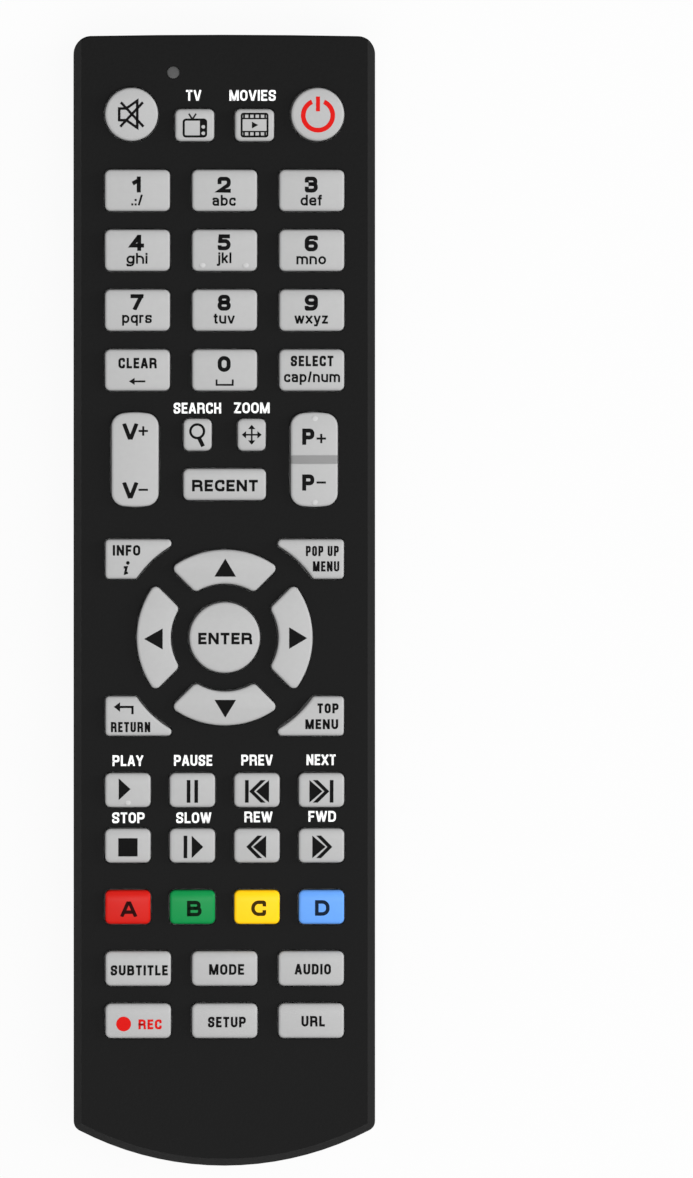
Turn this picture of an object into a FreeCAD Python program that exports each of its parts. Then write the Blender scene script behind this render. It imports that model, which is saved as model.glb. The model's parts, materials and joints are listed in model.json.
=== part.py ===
# A slim television remote control with backlit rubber keys, seen face up and lying on its back.
# It is drawn in its own datum: X across, +Y towards the end with the infrared eye, and z = 0 on
# the front face with the keys standing up from it. The finished pieces are then tilted together
# so that the remote rests on the thumb ribs of its battery cover and on its rear button.
import FreeCAD, Part
import os
from math import acos, asin, atan, atan2, cos, degrees, hypot, pi, radians, sin, sqrt, tan

V = FreeCAD.Vector

# Body
BODY_WIDTH = 56.0
BODY_LENGTH = 210.0
SEAM_DEPTH = 7.0
EYE_END_RADIUS = 1300.0
EYE_CORNER_RADIUS = 3.3
TAIL_RADIUS = 58.5
TAIL_CORNER_RADIUS = 2.0
BEVEL_WIDTH = 1.45
BEVEL_DEPTH = 3.1
BEVEL_AT_EYE_END = 0.35
SEAM_CHAMFER = 0.35
WALL = 1.8
SHELL_FIT = 0.15
LIP_THICKNESS = 0.8
LIP_HEIGHT = 1.4
LIP_ROOT = 2.0

# Rear: the ledge round the hump and the crest of the hump, as depths below the front face
LEDGE_DEPTH_EYE = 15.3
LEDGE_DEPTH_TAIL = 17.8
LEDGE_WIDTH = 4.5
LEDGE_EDGE_RADIUS = 1.8
CREST_DEPTH_EYE = 21.8
CREST_DEPTH_TAIL = 28.8
FLANK_DRAFT = 6.0
HUMP_CORNER_RADIUS = 5.2
CROWN_RADIUS = 300.0
FLAT_HALF_WIDTH = 8.0
HUMP_TAIL_INSET = 3.0
HUMP_TAIL_RADIUS = 2.9
HUMP_EYE_RADIUS = 1.8
HUMP_ROOT = 14.0

# Finger grooves across the hump: where each starts, is deepest and ends, from the eye end
GROOVES = (
    {"start": 45.3, "deepest": 51.2, "end": 57.1, "depth": 1.7, "ramp": 0.0},
    {"start": 72.6, "deepest": 81.1, "end": 87.2, "depth": 2.3, "ramp": 0.0},
    {"start": 101.7, "deepest": 112.9, "end": 117.7, "depth": 3.75, "ramp": 45.0},
)

# Battery cover, its rails and its thumb ribs
COVER_OVERHANG = 3.6
COVER_ARCH_RADIUS = 98.0
COVER_WALL = 1.6
COVER_GAP = 0.2
RAIL_WIDTH = 1.2
RAIL_THICKNESS = 1.0
COVER_LIP_THICKNESS = 0.9
COVER_LIP_HEAD_GAP = 1.0
COVER_LIP_TAIL_GAP = 2.0
RIB_COUNT = 5
RIB_PITCH = 1.93
RIB_WIDTH = 22.0
RIB_RADIUS = 0.75
RIB_HEIGHT = 0.55
FIRST_RIB = 0.75

# Batteries, two AA cells side by side, and their tub
CELL_DIAMETER = 14.2
CELL_BODY = 49.3
CELL_NUB_LENGTH = 1.2
CELL_NUB_DIAMETER = 5.4
CELL_GAP = 1.0
CELL_SEAT = 0.2
CONTACT_ROOM = 2.65
TUB_FLOOR_DEPTH = 9.2
TUB_FLOOR = 1.6
TUB_WALL = 1.6
TUB_RIM_DEPTH = 21.6
TUB_CLEARANCE = 0.9
TUB_TO_TAIL = 9.6
TERMINAL_THICKNESS = 0.4
TERMINAL_WIDTH = 9.0
TERMINAL_HEIGHT = 11.0
TERMINAL_TONGUE = 6.0
TONGUE_TIP = 0.55

# Circuit board, keypad mat and keys
BOARD_DEPTH = 4.5
BOARD_THICKNESS = 1.6
BOARD_INSET = 3.2
MAT_THICKNESS = 0.6
MAT_INSET = 3.8
KEY_GAP = 0.25
FLANGE_OVERLAP = 0.5
FLANGE_THICKNESS = 0.6
FLANGE_CLEARANCE = 0.2
KEY_CORNER_RADIUS = 1.0
KEY_HIGH = 2.1
KEY_LOW = 1.0
KEY_PEAK = 0.22
SHOULDER_RUN = 0.35
SHOULDER_DROP = 0.3
EDGE_DROP = 0.95
CORNER_STEPS = 2
ARC_STEPS = 6
RIM_STEPS = 4
EDGE_STEPS = 3
HALF_ROUND_STEPS = 10
POST_SIDES = 8
ROUND_SIDES = 16
KEY_SIDES = 24

# Sizes of the keys
DIGIT_WIDTH = 12.0
DIGIT_LENGTH = 7.6
ROUND_DIAMETER = 9.8
SOURCE_WIDTH = 7.2
SOURCE_LENGTH = 5.9
TOOL_WIDTH = 5.2
TOOL_LENGTH = 5.9
RECENT_WIDTH = 15.3
RECENT_LENGTH = 5.8
ROCKER_WIDTH = 8.7
ROCKER_LENGTH = 17.5
ROCKER_END_RADIUS = 16.0
ROCKER_CORNER_RADIUS = 2.4
ROCKER_GAP = 0.3
ROCKER_EAR = 3.0
ROCKER_EAR_DROP = 0.5
RING_INNER_RADIUS = 10.0
RING_OUTER_RADIUS = 16.3
RING_SPLIT = 4.2
ENTER_DIAMETER = 13.1
CORNER_KEY_WIDTH = 12.2
CORNER_KEY_Y = 18.2
CORNER_KEY_LENGTH = 7.3
CORNER_KEY_CUT_RADIUS = 19.7
CORNER_KEY_CORNER_RADIUS = 0.7
PLAY_WIDTH = 8.4
PLAY_LENGTH = 6.3
FOOT_WIDTH = 12.1
FOOT_LENGTH = 6.4

# How far down the body the key rows start and end, and where each row is between them: the round
# keys are at 0 and the last row is at 1, so that the rows spread with the length of the body
KEYPAD_HEAD = 14.8
KEYPAD_FOOT = 27.1
SOURCE_ROW = 0.0119
DIGIT_ROWS = (0.0839, 0.1499, 0.2159, 0.2820)
TOOL_ROW = 0.3534
ROCKER_ROW = 0.3807
RECENT_ROW = 0.4081
RING_ROW = 0.5770
PLAY_ROWS = (0.7454, 0.8067, 0.8745)
FOOT_ROWS = (0.9423, 1.0)

# How far out each column of keys is, as a share of half the width, so that the columns spread with
# the width of the body. The play keys have a second column a third as far out.
ROUND_COLUMN = 0.616
SOURCE_COLUMN = 0.198
DIGIT_COLUMN = 0.577
TOOL_COLUMN = 0.179
ROCKER_COLUMN = 0.593
CORNER_KEY_EDGE = 0.789
PLAY_COLUMN = 0.641
FOOT_COLUMN = 0.573

# Infrared eye, indicator lens and rear button
EYE_WIDTH = 14.0
EYE_HEIGHT = 7.7
EMITTER_DIAMETER = 5.0
EMITTER_LENGTH = 8.6
EMITTER_SETBACK = 2.4
LEAD_SIZE = 0.5
LEAD_PITCH = 2.54
LEAD_LENGTH = 4.0
BOARD_NOTCH_WIDTH = 9.0
LENS_DIAMETER = 2.4
LENS_X = -9.5
LENS_FROM_EYE_END = 7.0
LENS_RECESS = 0.25
LENS_FLANGE = 0.8
LENS_FIT = 0.03
BUTTON_FROM_EYE_END = 21.1
BUTTON_WIDTH = 20.0
BUTTON_LENGTH = 9.2
BUTTON_DOME_RADIUS = 6.0
BUTTON_CROWN_RADIUS = 30.0
BUTTON_PROUD = 1.1
BUTTON_GAP = 0.25
BUTTON_FLANGE = 0.7
BUTTON_FLANGE_THICKNESS = 0.8
BUTTON_FLANGE_CLEARANCE = 0.6
STEM_DIAMETER = 3.2
SWITCH_SIZE = 6.0
SWITCH_HEIGHT = 3.4
SWITCH_PLUNGER = 0.9
SWITCH_PLUNGER_DIAMETER = 2.6
STEM_GAP = 0.3
BUTTON_TRAVEL = 1.0

# Screws through the battery tub into bosses of the front shell
SCREW_TO_TUB_TAIL = 3.4
SCREW_DIAMETER = 2.4
SCREW_HEAD_DIAMETER = 4.6
SCREW_HEAD_HEIGHT = 1.2
SCREW_TIP_DEPTH = 2.4
SCREW_BITE = 0.1
SCREW_CLEARANCE = 0.4
PILOT_RUN = 0.3
BOSS_DIAMETER = 4.6
POST_DIAMETER = 5.8

# Small lights between the keys, on the front of the board
LIGHT_LENGTH = 1.6
LIGHT_WIDTH = 0.8
LIGHT_HEIGHT = 0.5
LIGHT_ROOM = 0.4
LIGHT_INSET = 0.8

# What else is soldered to the back of the board, as x, how far from the eye end, width, length
# and height: processor, light driver, crystal, capacitor, transistor and two resistors
CHIPS = (
    (6.0, 49.0, 10.0, 10.0, 1.4),
    (-9.0, 45.0, 6.0, 5.0, 1.2),
    (-9.0, 55.0, 4.5, 11.0, 3.2),
    (8.0, 69.0, 8.0, 8.0, 5.4),
    (-8.0, 69.0, 3.2, 2.6, 1.1),
    (14.0, 35.0, 3.0, 2.0, 1.0),
    (-14.0, 33.0, 3.0, 2.0, 1.0),
)

# What follows from the sizes above
HALF_LENGTH = BODY_LENGTH / 2
HALF_WIDTH = BODY_WIDTH / 2
BEYOND = 60.0


def row(share):
    """How far from the middle of the body a key row is, from its share of the way down."""
    return HALF_LENGTH - KEYPAD_HEAD - share * (BODY_LENGTH - KEYPAD_HEAD - KEYPAD_FOOT)


def column(share):
    """How far out a column of keys is, from its share of half the width."""
    return share * HALF_WIDTH


ROUND_X, ROUND_Y = column(ROUND_COLUMN), row(0)
SOURCE_X, SOURCE_Y = column(SOURCE_COLUMN), row(SOURCE_ROW)
TOOL_X, TOOL_Y = column(TOOL_COLUMN), row(TOOL_ROW)
ROCKER_X, ROCKER_Y = column(ROCKER_COLUMN), row(ROCKER_ROW)
RECENT_Y = row(RECENT_ROW)
RING_Y = row(RING_ROW)
CORNER_KEY_X = column(CORNER_KEY_EDGE)
LENS_Y = HALF_LENGTH - LENS_FROM_EYE_END
BUTTON_Y = HALF_LENGTH - BUTTON_FROM_EYE_END

CELL_LENGTH = CELL_BODY + CELL_NUB_LENGTH
CELL_PITCH = CELL_DIAMETER + CELL_GAP
CELL_DEPTH = TUB_FLOOR_DEPTH + CELL_SEAT + CELL_DIAMETER / 2
TUB_TAIL = TUB_TO_TAIL - HALF_LENGTH
TUB_HEAD = TUB_TAIL + CELL_LENGTH + 2 * CONTACT_ROOM
TUB_HALF = CELL_PITCH / 2 + CELL_DIAMETER / 2 + TUB_CLEARANCE
CELLS_Y = (TUB_HEAD + TUB_TAIL) / 2
COVER_START = HALF_LENGTH - TUB_HEAD - COVER_OVERHANG
# The first screw is between the last two rows of play keys, and the other at the tail of the tub
SCREWS_Y = ((row(PLAY_ROWS[1]) + row(PLAY_ROWS[2])) / 2, TUB_TAIL + SCREW_TO_TUB_TAIL)
LIGHT_PLACES = (
    (column(DIGIT_COLUMN) / 2, (row(DIGIT_ROWS[0]) + row(DIGIT_ROWS[1])) / 2),
    (column(DIGIT_COLUMN) / 2, (row(DIGIT_ROWS[2]) + row(DIGIT_ROWS[3])) / 2),
    (TOOL_X * 2, ROCKER_Y),
    (RING_INNER_RADIUS - LIGHT_INSET, RING_Y + RING_INNER_RADIUS - LIGHT_INSET),
    (RING_INNER_RADIUS - LIGHT_INSET, RING_Y - RING_INNER_RADIUS + LIGHT_INSET),
    (column(PLAY_COLUMN) * 2 / 3, (row(PLAY_ROWS[0]) + row(PLAY_ROWS[1])) / 2),
    (column(FOOT_COLUMN) / 2, (row(FOOT_ROWS[0]) + row(FOOT_ROWS[1])) / 2),
)


def prism(x, y, z0, z1, diameter, sides=POST_SIDES):
    """An upright post with a few flat sides, its diameter measured across them."""
    reach = diameter / 2 / cos(pi / sides)
    outline = polygon(arc_points(x, y, reach, pi / sides, 2 * pi, sides)[:-1])
    return upright(outline, z0, z1)


def lying(solid, x, y, z, way):
    """An upright solid laid down, so that its top points to the eye end or, with way -1, the tail."""
    solid.rotate(V(0, 0, 0), V(1, 0, 0), -90 * way)
    solid.translate(V(x, y, z))
    return solid


def box(x0, x1, y0, y1, z0, z1):
    """A block between two corners."""
    return Part.makeBox(x1 - x0, y1 - y0, z1 - z0, V(x0, y0, z0))


def post(x, y, z0, z1, diameter):
    """An upright cylinder."""
    return Part.makeCylinder(diameter / 2, z1 - z0, V(x, y, z0))


def upright(wire, z0, z1):
    """The solid over a flat outline drawn at z = 0, from z0 to z1."""
    flat = Part.Face(wire)
    flat.translate(V(0, 0, z0))
    return flat.extrude(V(0, 0, z1 - z0))


def across(points, half_width):
    """The solid over an outline of (y, z) points, drawn symmetric about the middle plane."""
    loop = [V(-half_width, y, z) for y, z in points]
    return Part.Face(Part.makePolygon(loop + loop[:1])).extrude(V(2 * half_width, 0, 0))


def joined(first, *others):
    """One solid of several that touch, with the flat faces that meet made one."""
    return first.fuse(list(others)).removeSplitter()


def arc_points(x, y, radius, start, turn, steps):
    """Points along an arc, its two ends among them."""
    angles = [start + turn * step / steps for step in range(steps + 1)]
    return [(x + radius * cos(angle), y + radius * sin(angle)) for angle in angles]


def polygon(points):
    """A closed outline of straight sides."""
    loop = [V(x, y) for x, y in points]
    return Part.makePolygon(loop + loop[:1])


def unit(x, y):
    """A direction in a plane, of length 1."""
    size = hypot(x, y)
    return x / size, y / size


def bowed_end(half_width, apex, radius, corner):
    """Points of one bowed end and its right corner: side, middle of the corner, join and apex."""
    way = 1 if apex > 0 else -1
    centre_y = apex - way * radius
    corner_x = half_width - corner
    corner_y = centre_y + way * sqrt((radius - corner) ** 2 - corner_x**2)
    out_x, out_y = unit(corner_x, corner_y - centre_y)
    mid_x, mid_y = unit(1 + out_x, out_y)
    return (
        (half_width, corner_y),
        (corner_x + corner * mid_x, corner_y + corner * mid_y),
        (corner_x + corner * out_x, corner_y + corner * out_y),
        (0, apex),
    )


def bowed_outline(half_width, top, top_radius, top_corner, foot, foot_radius, foot_corner, z=0.0):
    """A long outline with straight sides, two bowed ends and rounded corners."""
    ends = (
        bowed_end(half_width, top, top_radius, top_corner),
        bowed_end(half_width, foot, foot_radius, foot_corner),
    )
    right, left = [], []
    for end in ends:
        right.append([V(x, y, z) for x, y in end])
        left.append([V(-x, y, z) for x, y in end])
    edges = [Part.makeLine(right[1][0], right[0][0])]
    edges.append(Part.Arc(*right[0][:3]).toShape())
    edges.append(Part.Arc(right[0][2], right[0][3], left[0][2]).toShape())
    edges.append(Part.Arc(*left[0][2::-1]).toShape())
    edges.append(Part.makeLine(left[0][0], left[1][0]))
    edges.append(Part.Arc(*left[1][:3]).toShape())
    edges.append(Part.Arc(left[1][2], right[1][3], right[1][2]).toShape())
    edges.append(Part.Arc(*right[1][2::-1]).toShape())
    return Part.Wire(edges)


def body_outline(inset=0.0, z=0.0):
    """The outline of the body seen from the front, drawn in by the same distance all round."""
    return bowed_outline(
        HALF_WIDTH - inset,
        HALF_LENGTH - inset,
        EYE_END_RADIUS,
        max(EYE_CORNER_RADIUS - inset, 0.5),
        inset - HALF_LENGTH,
        TAIL_RADIUS - inset,
        max(TAIL_CORNER_RADIUS - inset, 0.5),
        z,
    )


def ledge_depth(y):
    """How far the ledge lies behind the front face."""
    share = (HALF_LENGTH - y) / BODY_LENGTH
    return LEDGE_DEPTH_EYE + share * (LEDGE_DEPTH_TAIL - LEDGE_DEPTH_EYE)


def crest_depth(y):
    """How far the crest of the hump lies behind the front face."""
    share = (HALF_LENGTH - y) / BODY_LENGTH
    return CREST_DEPTH_EYE + share * (CREST_DEPTH_TAIL - CREST_DEPTH_EYE)


def down_to(nearer, top):
    """Everything from the height top down to the ledge, less the distance nearer."""
    far = HALF_LENGTH + BEYOND
    points = [(y, nearer - ledge_depth(y)) for y in (-far, far)]
    return across(points + [(far, top), (-far, top)], BODY_WIDTH)


def sloping_bar(section, depth_eye, depth_tail):
    """A section drawn at z = 0, as a long bar whose depth runs from one value to another."""
    far = HALF_LENGTH + BEYOND
    bar = Part.Face(section).extrude(V(0, 2 * far, 0))
    bar.translate(V(0, -far, 0))
    bar.rotate(V(0, 0, 0), V(1, 0, 0), degrees(atan((depth_tail - depth_eye) / BODY_LENGTH)))
    bar.translate(V(0, 0, -(depth_eye + depth_tail) / 2))
    return bar


def tail_disc(radius, depth, edge):
    """Everything inside a tail of this radius and depth, with its rim rounded in a few steps."""
    centre = TAIL_RADIUS - HALF_LENGTH
    straight = centre - radius * cos(radians(45))
    rim = [(radius, -depth)]
    if edge:
        rim = arc_points(radius - edge, edge - depth, edge, 0, -pi / 2, RIM_STEPS)
    profile = [V(r, 0, z) for r, z in [(0, 0), (radius, 0)] + rim + [(0, -depth), (0, 0)]]
    disc = Part.Face(Part.makePolygon(profile)).revolve(V(0, 0, 0), V(0, 0, 1), 360)
    disc.translate(V(0, centre, 0))
    disc = disc.common(box(-BODY_WIDTH, BODY_WIDTH, -BODY_LENGTH, straight, -BEYOND, 0))
    return disc.fuse(box(-BODY_WIDTH, BODY_WIDTH, straight, BODY_LENGTH, -BEYOND, 0))


def hump_section(shrink):
    """The cross-section of the hump, its crest at z = 0: flanks, shoulders, crown and flat strip."""
    draft = radians(FLANK_DRAFT)
    slope = tan(draft)
    half = HALF_WIDTH - LEDGE_WIDTH - shrink / cos(draft)
    corner = HUMP_CORNER_RADIUS - shrink
    crown = CROWN_RADIUS - shrink
    # The shoulder's centre is one radius inside the flank, and touches the crown from inside.
    ledge = -(crest_depth(0) - ledge_depth(0))
    run = half - corner / cos(draft) - FLAT_HALF_WIDTH
    rise = ledge + shrink + crown
    turn = rise - run * slope
    fall = (1 + slope**2) * (run**2 + rise**2 - (crown - corner) ** 2)
    down = (sqrt(turn**2 - fall) - turn) / (1 + slope**2)
    centre_x = run - slope * down + FLAT_HALF_WIDTH
    centre_d = ledge + down
    crown_d = -shrink - crown
    out_x, out_d = unit(centre_x - FLAT_HALF_WIDTH, centre_d - crown_d)
    mid_x, mid_d = unit(cos(draft) + out_x, sin(draft) + out_d)
    top_x, top_d = unit(out_x, out_d + 1)
    half_points = (
        (half + slope * (HUMP_ROOT + ledge), -HUMP_ROOT),
        (centre_x + corner * cos(draft), centre_d + corner * sin(draft)),
        (centre_x + corner * mid_x, centre_d + corner * mid_d),
        (FLAT_HALF_WIDTH + crown * out_x, crown_d + crown * out_d),
        (FLAT_HALF_WIDTH + crown * top_x, crown_d + crown * top_d),
        (FLAT_HALF_WIDTH, -shrink),
    )
    right = [V(x, 0, -d) for x, d in half_points]
    left = [V(-x, 0, -d) for x, d in half_points]
    edges = [
        Part.makeLine(right[0], right[1]),
        Part.Arc(*right[1:4]).toShape(),
        Part.Arc(*right[3:6]).toShape(),
        Part.makeLine(right[5], left[5]),
        Part.Arc(*left[5:2:-1]).toShape(),
        Part.Arc(*left[3:0:-1]).toShape(),
        Part.makeLine(left[1], left[0]),
        Part.makeLine(left[0], right[0]),
    ]
    return Part.Wire(edges)


def hump_between(foot, head, shrink):
    """The hump as a straight bar along its sloping crest, from one place on the body to another."""
    bar = sloping_bar(hump_section(shrink), CREST_DEPTH_EYE, CREST_DEPTH_TAIL)
    return bar.common(box(-BODY_WIDTH, BODY_WIDTH, foot, head, -BEYOND, 0))


def between_ends(tail, head):
    """Everything between a bowed tail and a straight head: each is a place, a depth and a rim."""
    place, depth, edge = tail
    disc = tail_disc(TAIL_RADIUS - HALF_LENGTH - place, depth, edge)
    place, depth, edge = head
    points = arc_points(place - edge, edge - depth, edge, 0, -pi / 2, EDGE_STEPS)
    points += [(place - edge, -BEYOND), (-BODY_LENGTH, -BEYOND), (-BODY_LENGTH, 0), (place, 0)]
    return disc.common(across(points, BODY_WIDTH))


def hump_ends(inset):
    """Everything between the hump's two ends, each drawn in by the same distance."""
    tail = HUMP_TAIL_INSET + inset - HALF_LENGTH
    # Taken halfway along the rim, so that the sloping crest crosses the rim and doesn't just touch it.
    tail_depth = crest_depth(tail + HUMP_TAIL_RADIUS / 2) - inset
    head = HALF_LENGTH - inset
    head_edge = HUMP_EYE_RADIUS - inset / 2
    head_depth = crest_depth(head - head_edge) - inset
    tail_edge = 0 if inset else HUMP_TAIL_RADIUS
    return between_ends((tail, tail_depth, tail_edge), (head, head_depth, head_edge))


def hump_outside():
    """The whole outside of the hump, with its two ends rounded over."""
    bar = hump_between(-HALF_LENGTH, HALF_LENGTH, 0)
    return bar.common(hump_ends(0)).common(upright(body_outline(), -BEYOND, 0))


def groove_tool(groove, grow):
    """The solid that cuts one finger groove, or with grow the room that its wall needs."""
    start = HALF_LENGTH - groove["start"] + grow
    deepest = HALF_LENGTH - groove["deepest"]
    end = HALF_LENGTH - groove["end"] - grow
    depth = groove["depth"] + grow

    def on_crest(y, inside):
        return V(-HALF_WIDTH, y, inside - crest_depth(y))

    def bowl(side, rise):
        """The arc from the groove's floor, level there, up to a side point."""
        run = side - deepest
        radius = (run**2 + rise**2) / (2 * rise)
        turn = asin(abs(run) / radius) / 2
        mid = on_crest(deepest + sin(turn) * radius * run / abs(run), depth - radius * (1 - cos(turn)))
        return Part.Arc(on_crest(side, depth - rise), mid, on_crest(deepest, depth)).toShape()

    edges = [bowl(start, depth)]
    if groove["ramp"]:
        # A short arc turns up to the ramp, and its run and the ramp's fill what is left.
        turn = radians(groove["ramp"])
        radius = (deepest - end - depth / tan(turn)) / (sin(turn) - (1 - cos(turn)) / tan(turn))
        foot = deepest - radius * sin(turn)
        edges.append(bowl(foot, radius * (1 - cos(turn))))
        edges.append(Part.makeLine(on_crest(foot, depth - radius * (1 - cos(turn))), on_crest(end, 0)))
    else:
        edges.append(bowl(end, depth))
    edges.append(Part.makeLine(on_crest(end, 0), on_crest(end, -BEYOND)))
    edges.append(Part.makeLine(on_crest(end, -BEYOND), on_crest(start, -BEYOND)))
    edges.append(Part.makeLine(on_crest(start, -BEYOND), on_crest(start, 0)))
    return Part.Face(Part.Wire(Part.__sortEdges__(edges))).extrude(V(BODY_WIDTH, 0, 0))


def cover_side(gap):
    """Everything on the tail side of the cover's arched front seam, less a gap."""
    centre = HALF_LENGTH - COVER_START - COVER_ARCH_RADIUS
    disc = post(0, centre, -BEYOND, 0, 2 * (COVER_ARCH_RADIUS - gap))
    return disc.common(box(-BEYOND, BEYOND, -BODY_LENGTH, 0, -BEYOND, 0))


def tub_room():
    """The space inside the battery tub, open to the rear."""
    return box(-TUB_HALF, TUB_HALF, TUB_TAIL, TUB_HEAD, -BEYOND, -TUB_FLOOR_DEPTH)


def tub_block():
    """The outside of the battery tub."""
    out = TUB_HALF + TUB_WALL
    low = -TUB_RIM_DEPTH
    return box(-out, out, TUB_TAIL - TUB_WALL, TUB_HEAD + TUB_WALL, low, TUB_FLOOR - TUB_FLOOR_DEPTH)


def ledge_slice(x0, x1, y0, y1, near, far):
    """A bar on one side, whose two flat faces run parallel to the ledge at these distances."""
    points = [(y0, near), (y1, near), (y1, far), (y0, far)]
    loop = [V(x0, y, -ledge_depth(y) - away) for y, away in points]
    return Part.Face(Part.makePolygon(loop + loop[:1])).extrude(V(x1 - x0, 0, 0))


def cover_rails():
    """The two rails outside the tub that hold the cover's lips down on the ledge."""
    out = TUB_HALF + TUB_WALL
    near = 2 * COVER_GAP + COVER_LIP_THICKNESS + COVER_GAP
    bars = []
    for side in (-1, 1):
        x0, x1 = sorted((side * (out - TUB_WALL / 2), side * (out + RAIL_WIDTH)))
        bars.append(ledge_slice(x0, x1, TUB_TAIL, TUB_HEAD, near, near + RAIL_THICKNESS))
    return bars


def slab_outside():
    """The rear half of the slab behind the seam, with the rounded edge of its ledge."""
    edge = LEDGE_EDGE_RADIUS
    rim = arc_points(HALF_WIDTH - edge, edge, edge, 0, -pi / 2, EDGE_STEPS)
    half = [(HALF_WIDTH, LEDGE_DEPTH_TAIL)] + rim
    loop = [V(x, 0, z) for x, z in half] + [V(-x, 0, z) for x, z in half[::-1]]
    bar = sloping_bar(Part.makePolygon(loop + loop[:1]), LEDGE_DEPTH_EYE, LEDGE_DEPTH_TAIL)
    tail = (-HALF_LENGTH, ledge_depth(edge / 2 - HALF_LENGTH), edge)
    head = (HALF_LENGTH, ledge_depth(HALF_LENGTH - edge), edge)
    block = upright(body_outline(), -BEYOND, -SEAM_DEPTH)
    return bar.common(block).common(between_ends(tail, head))


def stadium(width, length, x, y, z0, z1, steps=HALF_ROUND_STEPS):
    """An upright solid with two straight sides and half-round ends."""
    half = (width - length) / 2
    points = arc_points(x + half, y, length / 2, -pi / 2, pi, steps)
    points += arc_points(x - half, y, length / 2, pi / 2, pi, steps)
    return upright(polygon(points), z0, z1)


def eye_tool():
    """The oval hole of the infrared eye, through the end wall at the seam."""
    reach = 2 * (WALL + 2)
    hole = stadium(EYE_WIDTH, EYE_HEIGHT, 0, 0, -reach / 2, reach / 2)
    return lying(hole, 0, HALF_LENGTH - WALL / 2, -SEAM_DEPTH, 1)


def rear_shell():
    """The rear half of the case: slab, ledge, grooved hump, battery tub and screw posts."""
    hump = hump_outside()
    upper = hump.cut(cover_side(0))
    grooves = [groove_tool(groove, 0) for groove in GROOVES]
    upper = upper.cut(grooves)
    shell = slab_outside().fuse(upper)

    room = upright(body_outline(WALL), -BEYOND, 0).common(down_to(WALL, 0))
    bulkhead_face = TUB_HEAD + TUB_WALL
    hollow = hump_between(bulkhead_face, HALF_LENGTH, WALL).common(hump_ends(WALL))
    hollow = hollow.cut([groove_tool(groove, WALL) for groove in GROOVES])
    shell = shell.cut([room, hollow])

    # The bulkhead closes the hollow hump and carries the front edge of the battery cover.
    bulkhead = hump_between(TUB_HEAD, bulkhead_face, COVER_WALL + COVER_GAP)
    shelf = upright(body_outline(WALL), -SEAM_DEPTH - LIP_ROOT, -SEAM_DEPTH)
    tongue = upright(body_outline(WALL + SHELL_FIT), -SEAM_DEPTH, LIP_HEIGHT - SEAM_DEPTH)
    inside = WALL + SHELL_FIT + LIP_THICKNESS
    rim = shelf.fuse(tongue).cut(upright(body_outline(inside), -BEYOND, 0))
    back = -BOARD_DEPTH - BOARD_THICKNESS
    posts = [prism(0, y, -TUB_FLOOR_DEPTH, back, POST_DIAMETER) for y in SCREWS_Y]
    shell = shell.fuse([bulkhead, rim, tub_block()] + cover_rails() + posts)

    clear = SCREW_DIAMETER + SCREW_CLEARANCE
    head = SCREW_HEAD_DIAMETER + SCREW_CLEARANCE
    seat = -TUB_FLOOR_DEPTH + SCREW_HEAD_HEIGHT
    cuts = [tub_room(), eye_tool()]
    cuts += [prism(0, y, -TUB_FLOOR_DEPTH - 1, 0, clear) for y in SCREWS_Y]
    cuts += [prism(0, y, -TUB_FLOOR_DEPTH - 1, seat, head) for y in SCREWS_Y]
    hole = 2 * BUTTON_GAP
    cuts.append(
        stadium(BUTTON_WIDTH + hole, BUTTON_LENGTH + hole, 0, BUTTON_Y, -BEYOND, -LEDGE_DEPTH_EYE)
    )
    shell = shell.cut(cuts).removeSplitter()
    seam = [e for e in shell.Edges if abs(e.CenterOfMass.z + SEAM_DEPTH) < 0.01 and on_outline(e)]
    return shell.makeChamfer(SEAM_CHAMFER, seam)


def on_outline(edge):
    """True for an edge on the outside of the body, apart from the eye's hole."""
    p = edge.valueAt((edge.FirstParameter + edge.LastParameter) / 2)
    inner = HALF_WIDTH - WALL / 2
    far_end = HALF_LENGTH - WALL / 2
    tail = hypot(p.x, p.y - TAIL_RADIUS + HALF_LENGTH) > TAIL_RADIUS - WALL / 2 and p.y < 0
    return abs(p.x) > inner or p.y > far_end or tail


def battery_cover():
    """The cover is the whole tail end of the hump, and slides off over the tail."""
    skin = hump_outside().common(cover_side(COVER_GAP))
    keep = down_to(-COVER_GAP, 0)
    hollow = hump_between(-HALF_LENGTH, HALF_LENGTH, COVER_WALL).common(hump_ends(COVER_WALL))
    shell = skin.cut([keep, hollow])
    out = TUB_HALF + TUB_WALL
    lips = []
    for side in (-1, 1):
        x0, x1 = sorted((side * (out + COVER_GAP), side * (HALF_WIDTH - LEDGE_WIDTH)))
        far = COVER_GAP + COVER_LIP_THICKNESS
        foot, head = TUB_TAIL + COVER_LIP_TAIL_GAP, TUB_HEAD - COVER_LIP_HEAD_GAP
        lips.append(ledge_slice(x0, x1, foot, head, COVER_GAP, far).common(hump_outside()))
    ribs = []
    for number in range(RIB_COUNT):
        y = HALF_LENGTH - COVER_START - FIRST_RIB - number * RIB_PITCH
        depth = crest_depth(y) - RIB_RADIUS + RIB_HEIGHT
        ribs.append(Part.makeCylinder(RIB_RADIUS, RIB_WIDTH, V(-RIB_WIDTH / 2, y, -depth), V(1, 0, 0)))
    inside = hump_between(-HALF_LENGTH, HALF_LENGTH, COVER_WALL / 2)
    ribs = [rib.cut(inside).common(cover_side(COVER_GAP)) for rib in ribs]
    return joined(shell, *(lips + ribs))


SHARP_CORNER = radians(40)


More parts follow.
